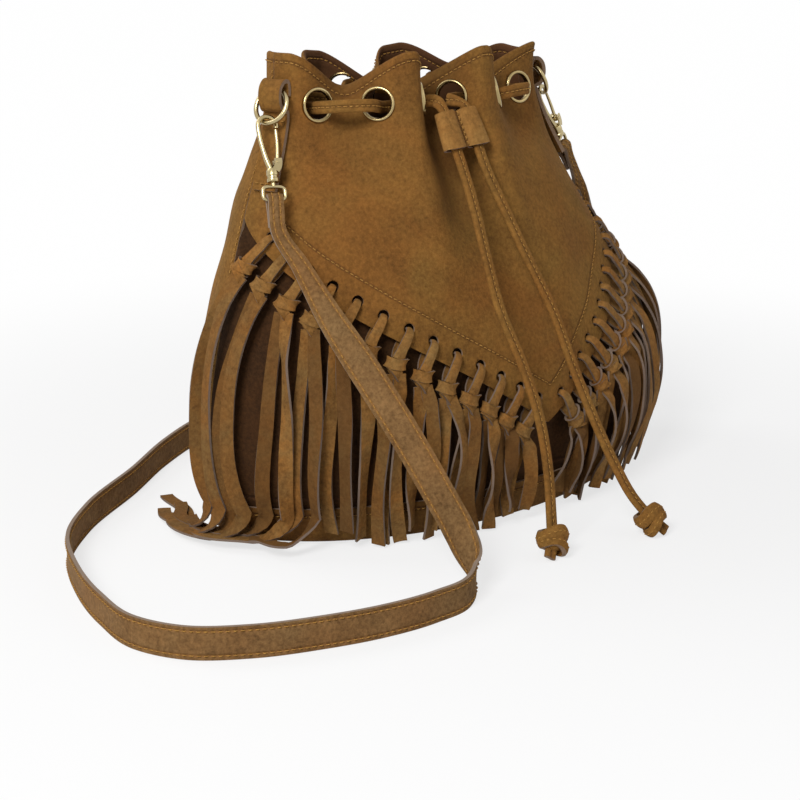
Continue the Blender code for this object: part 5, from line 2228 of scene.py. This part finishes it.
@dataclass
class Strap:
    """Long suede strap, edge-stitched in two rows, laid round the bag on the floor."""

    left: RingFitting
    right: RingFitting
    width: float = 15 * MM
    end_width: float = 7.4 * MM
    thickness: float = 1.8 * MM
    crown: float = 0.25 * MM
    cells: int = 8
    # Run at each end that stays narrow, and the length over which the strap then widens.
    narrow: float = 30 * MM
    taper: float = 85 * MM
    # Distance from the strap's edge to its stitches.
    stitch_in: float = 2.0 * MM
    stitch: StitchLine = StitchLine(3.1 * MM, 2.3 * MM, 0.6 * MM)
    # Place and width direction of each point of the route, before the shift.
    route: tuple = (
        ((-0.1165, -0.0405, 0.1400), (0.84, -0.52, 0.16)),
        ((-0.1145, -0.0590, 0.1185), (0.82, -0.50, 0.28)),
        ((-0.1100, -0.0770, 0.0970), (0.78, -0.44, 0.44)),
        ((-0.1045, -0.0970, 0.0715), (0.72, -0.36, 0.60)),
        ((-0.0985, -0.1150, 0.0445), (0.60, -0.20, 0.78)),
        ((-0.0945, -0.1285, 0.0235), (0.35, 0, 0.94)),
        ((-0.0975, -0.1400, 0.0110), (0.10, 0.05, 0.99)),
        ((-0.1110, -0.1500, 0.0080), (0, 0, 1)),
        ((-0.1340, -0.1530, 0.0078), (0, 0, 1)),
        ((-0.1620, -0.1500, 0.0078), (0, 0, 1)),
        ((-0.1890, -0.1420, 0.0078), (0, 0, 1)),
        ((-0.2180, -0.1290, 0.0078), (0, 0, 1)),
        ((-0.2390, -0.1120, 0.0078), (0, 0, 1)),
        ((-0.2490, -0.0880, 0.0078), (0, 0, 1)),
        ((-0.2450, -0.0560, 0.0078), (0, 0, 1)),
        ((-0.2330, -0.0180, 0.0078), (0, 0, 1)),
        ((-0.2140, 0.0190, 0.0078), (0, 0, 1)),
        ((-0.1850, 0.0480, 0.0078), (0, 0, 1)),
        ((-0.1330, 0.0830, 0.0078), (0, 0, 1)),
        ((-0.0930, 0.1120, 0.0078), (0, 0, 1)),
        ((-0.0560, 0.1330, 0.0078), (0, 0, 1)),
        ((-0.0100, 0.1480, 0.0078), (0, 0, 1)),
        ((0.0400, 0.1490, 0.0080), (0, 0, 1)),
        ((0.0860, 0.1370, 0.0120), (0, 0.10, 0.99)),
        ((0.1200, 0.1120, 0.0240), (-0.10, 0.30, 0.95)),
        ((0.1430, 0.0820, 0.0440), (-0.25, 0.45, 0.86)),
        ((0.1560, 0.0520, 0.0680), (-0.40, 0.60, 0.70)),
        ((0.1570, 0.0270, 0.0880), (-0.40, 0.75, 0.50)),
        ((0.1500, 0.0110, 0.1050), (-0.35, 0.82, 0.42)),
        ((0.1400, 0.0030, 0.1180), (-0.28, 0.86, 0.35)),
        ((0.1240, -0.0010, 0.1330), (-0.20, 0.92, 0.25)),
    )

    def build(self, finishes: Finishes) -> None:
        """Args:
            finishes: The materials.
        """
        first, first_across = self.left.strap_start()
        last, last_across = self.right.strap_start()
        middle = np.array([point for point, _ in self.route]) + SHIFT
        middle_across = np.array([across for _, across in self.route])
        points = np.concatenate([first, middle, last[::-1]])
        across = np.concatenate([first_across, unit(middle_across), -last_across[::-1]])
        path, across = even_path(points, across, 1.3 * MM)
        run = distances(path)
        total = run[-1]
        widening = ease((np.minimum(run, total - run) - self.narrow) / self.taper)
        width = self.end_width + (self.width - self.end_width) * widening
        surface, threads = Surface(), Surface()
        add_ribbon(surface, path, across, width, self.thickness, self.cells, self.crown)
        marks = surface.marks[0]
        edge = np.repeat(width / 2, 2 * (self.cells + 1)) / MM - np.abs(marks["across"])
        marks["stitch_line"] = 100 + edge - self.stitch_in / MM
        wide, thick = frames(path, across)
        bow = self.crown * (1 - (1 - 2 * self.stitch_in / width) ** 2)
        for face in (1, -1):
            surface_line = path + thick * (face * self.thickness / 2 + bow)[:, None]
            for edge_side in (1, -1):
                line = surface_line + wide * (edge_side * (width / 2 - self.stitch_in))[:, None]
                self.stitch.add(threads, line, face * thick)
        strap = surface.piece("shoulder_strap_suede", finishes.strap, 50)
        stitches = threads.piece("shoulder_strap_stitches", finishes.thread, 60)
        for piece in (strap, stitches):
            put_on(piece, "bag", "shoulder_strap")
        tuple(path[0])
        [tuple(p) for p in path]
        LOG.info("strap: %.3f m", total)


@dataclass(frozen=True)
class Studio:
    """Pale floor, white surroundings, soft lamps and the camera."""

    floor_half: float = 6.0
    # How much of its own white the floor shows, near the bag and from far_from on.
    near_white: float = 0.72
    far_white: float = 0.995
    near_to: float = 0.20
    far_from: float = 0.60
    world_light: float = 0.20
    lens: float = 83.25
    camera_place: tuple = (-0.6564, -0.7014, 0.3196)
    camera_aim: tuple = (-0.0132, 0.0130, 0.0440)
    # Name, place, point faced, side in metres and power in watts.
    lamps: tuple = (
        ("key", (-1.30, -0.66, 1.20), (0, 0, 0.08), 0.6, 24),
        ("fill", (0.9, -1.2, 0.9), (0, 0, 0.08), 1.4, 3.0),
        ("rim", (-0.6, 1.2, 1.3), (0, 0, 0.1), 1.0, 9),
    )

    def floor(self) -> None:
        """Large floor that shows nearly white and keeps the bag's shadow."""
        mesh = bpy.data.meshes.new("studio_floor")
        size = self.floor_half
        corners = [(-size, -size, 0), (size, -size, 0), (size, size, 0), (-size, size, 0)]
        mesh.from_pydata(corners, [], [(0, 1, 2, 3)])
        floor = bpy.data.objects.new("studio_floor", mesh)
        bpy.context.scene.collection.objects.link(floor)
        material, tree = new_material("studio_paper")
        rays = add_node(tree, "LightPath")
        seen = add_node(
            tree,
            "Math",
            {"operation": "MAXIMUM"},
            {0: rays.outputs["Is Camera Ray"], 1: rays.outputs["Is Glossy Ray"]},
        )
        place = add_node(tree, "TexCoord").outputs["Object"]
        away = add_node(tree, "VectorMath", {"operation": "LENGTH"}, {0: place})
        lit = add_node(
            tree,
            "MapRange",
            {"interpolation_type": "SMOOTHSTEP"},
            {
                "Value": away.outputs["Value"],
                "From Min": self.near_to,
                "From Max": self.far_from,
                "To Min": self.near_white,
                "To Max": self.far_white,
            },
        )
        share = add_node(
            tree, "Math", {"operation": "MULTIPLY"}, {0: seen.outputs[0], 1: lit.outputs[0]}
        )
        paper = add_node(tree, "BsdfDiffuse", None, {"Color": linear("#f4f4f4")})
        glow = add_node(tree, "Emission", None, {"Color": (1, 1, 1, 1), "Strength": 1.0})
        mixed = add_node(
            tree, "MixShader", None, {0: share.outputs[0], 1: paper.outputs[0], 2: glow.outputs[0]}
        )
        add_node(tree, "OutputMaterial", None, {"Surface": mixed.outputs[0]})
        mesh.materials.append(material)
        floor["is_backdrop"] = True

    def world(self) -> None:
        """White to the camera and in reflections, a dimmer even light for everything else."""
        world = bpy.data.worlds.new("studio_white")
        world.use_nodes = True
        tree = world.node_tree
        tree.nodes.clear()
        rays = add_node(tree, "LightPath").outputs
        seen = rays["Is Camera Ray"]
        for ray in ("Is Glossy Ray", "Is Transmission Ray"):
            seen = add_node(
                tree, "Math", {"operation": "MAXIMUM"}, {0: seen, 1: rays[ray]}
            ).outputs[0]
        dim, white = (
            add_node(
                tree, "Background", None, {"Color": (1, 1, 1, 1), "Strength": strength}
            ).outputs[0]
            for strength in (self.world_light, 1.0)
        )
        mixed = add_node(tree, "MixShader", None, {0: seen, 1: dim, 2: white})
        add_node(tree, "OutputWorld", None, {"Surface": mixed.outputs[0]})
        bpy.context.scene.world = world

    def lamp(self, name: str, place: tuple, aim: tuple, size: float, watts: float) -> None:
        """One square soft lamp.

        Args:
            name: Its name.
            place: Where it stands.
            aim: Point that it faces.
            size: Side of the square.
            watts: Its power.
        """
        light = bpy.data.lights.new(name, "AREA")
        light.size = size
        light.energy = watts
        lamp = bpy.data.objects.new(name, light)
        lamp.location = place
        view = Vector(aim) - Vector(place)
        lamp.rotation_euler = view.to_track_quat("-Z", "Y").to_euler()
        bpy.context.scene.collection.objects.link(lamp)

    def camera(self) -> None:
        """Camera where the photograph was taken from."""
        data = bpy.data.cameras.new("photo_camera")
        data.lens = self.lens
        data.sensor_width = 36
        camera = bpy.data.objects.new("photo_camera", data)
        camera.location = self.camera_place
        view = Vector(self.camera_aim) - Vector(self.camera_place)
        camera.rotation_euler = view.to_track_quat("-Z", "Y").to_euler()
        bpy.context.scene.collection.objects.link(camera)
        bpy.context.scene.camera = camera

    def build(self) -> None:
        """Set up everything that isn't the bag."""
        bpy.context.scene.view_settings.view_transform = "Standard"
        self.camera()
        self.floor()
        self.world()
        for lamp in self.lamps:
            self.lamp(*lamp)
        LOG.info("studio set")


def write_sizes(before: tuple, after: tuple) -> None:
    """Args:
        before: Box right after loading.
        after: Box of the dressed bag.
    """
    boxes = {
        name: [[float(c) for c in corner] for corner in box]
        for name, box in (("cad", before), ("visual", after))
    }


def main() -> None:
    """Load the frame, dress it piece by piece, and set the studio."""
    logging.basicConfig(level=logging.INFO, format="%(name)s: %(message)s")
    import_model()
    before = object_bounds()
    Studio().build()
    finishes = Finishes.make()
    form = BagForm()
    slider = Slider()
    left = RingFitting(
        form,
        Side.LEFT,
        ring_centre=(-0.110785, -0.003962, 0.211737),
        ring_axes=(
            (0.26418, -0.96447, -0.0),
            (0.41505, 0.11369, 0.90267),
            (-0.8706, -0.23847, 0.43034),
        ),
        hook_origin=(-0.119618, -0.015421, 0.179811),
        hook_axes=(
            (0.90769, -0.41714, -0.04576),
            (0.21969, 0.37947, 0.89874),
            (-0.35754, -0.82583, 0.43608),
        ),
    )
    right = RingFitting(
        form,
        Side.RIGHT,
        ring_centre=(0.070272, -0.003962, 0.211737),
        ring_axes=(
            (0.26418, 0.96447, 0.0),
            (-0.41505, 0.11369, 0.90267),
            (0.8706, -0.23847, 0.43034),
        ),
        hook_origin=(0.088578, -0.00335, 0.181575),
        hook_axes=(
            (0.7822, 0.35947, 0.50887),
            (-0.52844, -0.04985, 0.8475),
            (0.33002, -0.93183, 0.15096),
        ),
    )
    Strap(left, right).build(finishes)
    Drawcord(form, slider).build(finishes)
    slider.build(finishes)
    left.build(finishes)
    right.build(finishes)
    Body(form).build(finishes)
    Eyelets(form).build(finishes)
    Fringe(form).build(finishes)
    write_sizes(before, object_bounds())


if __name__ == "__main__":
    main()
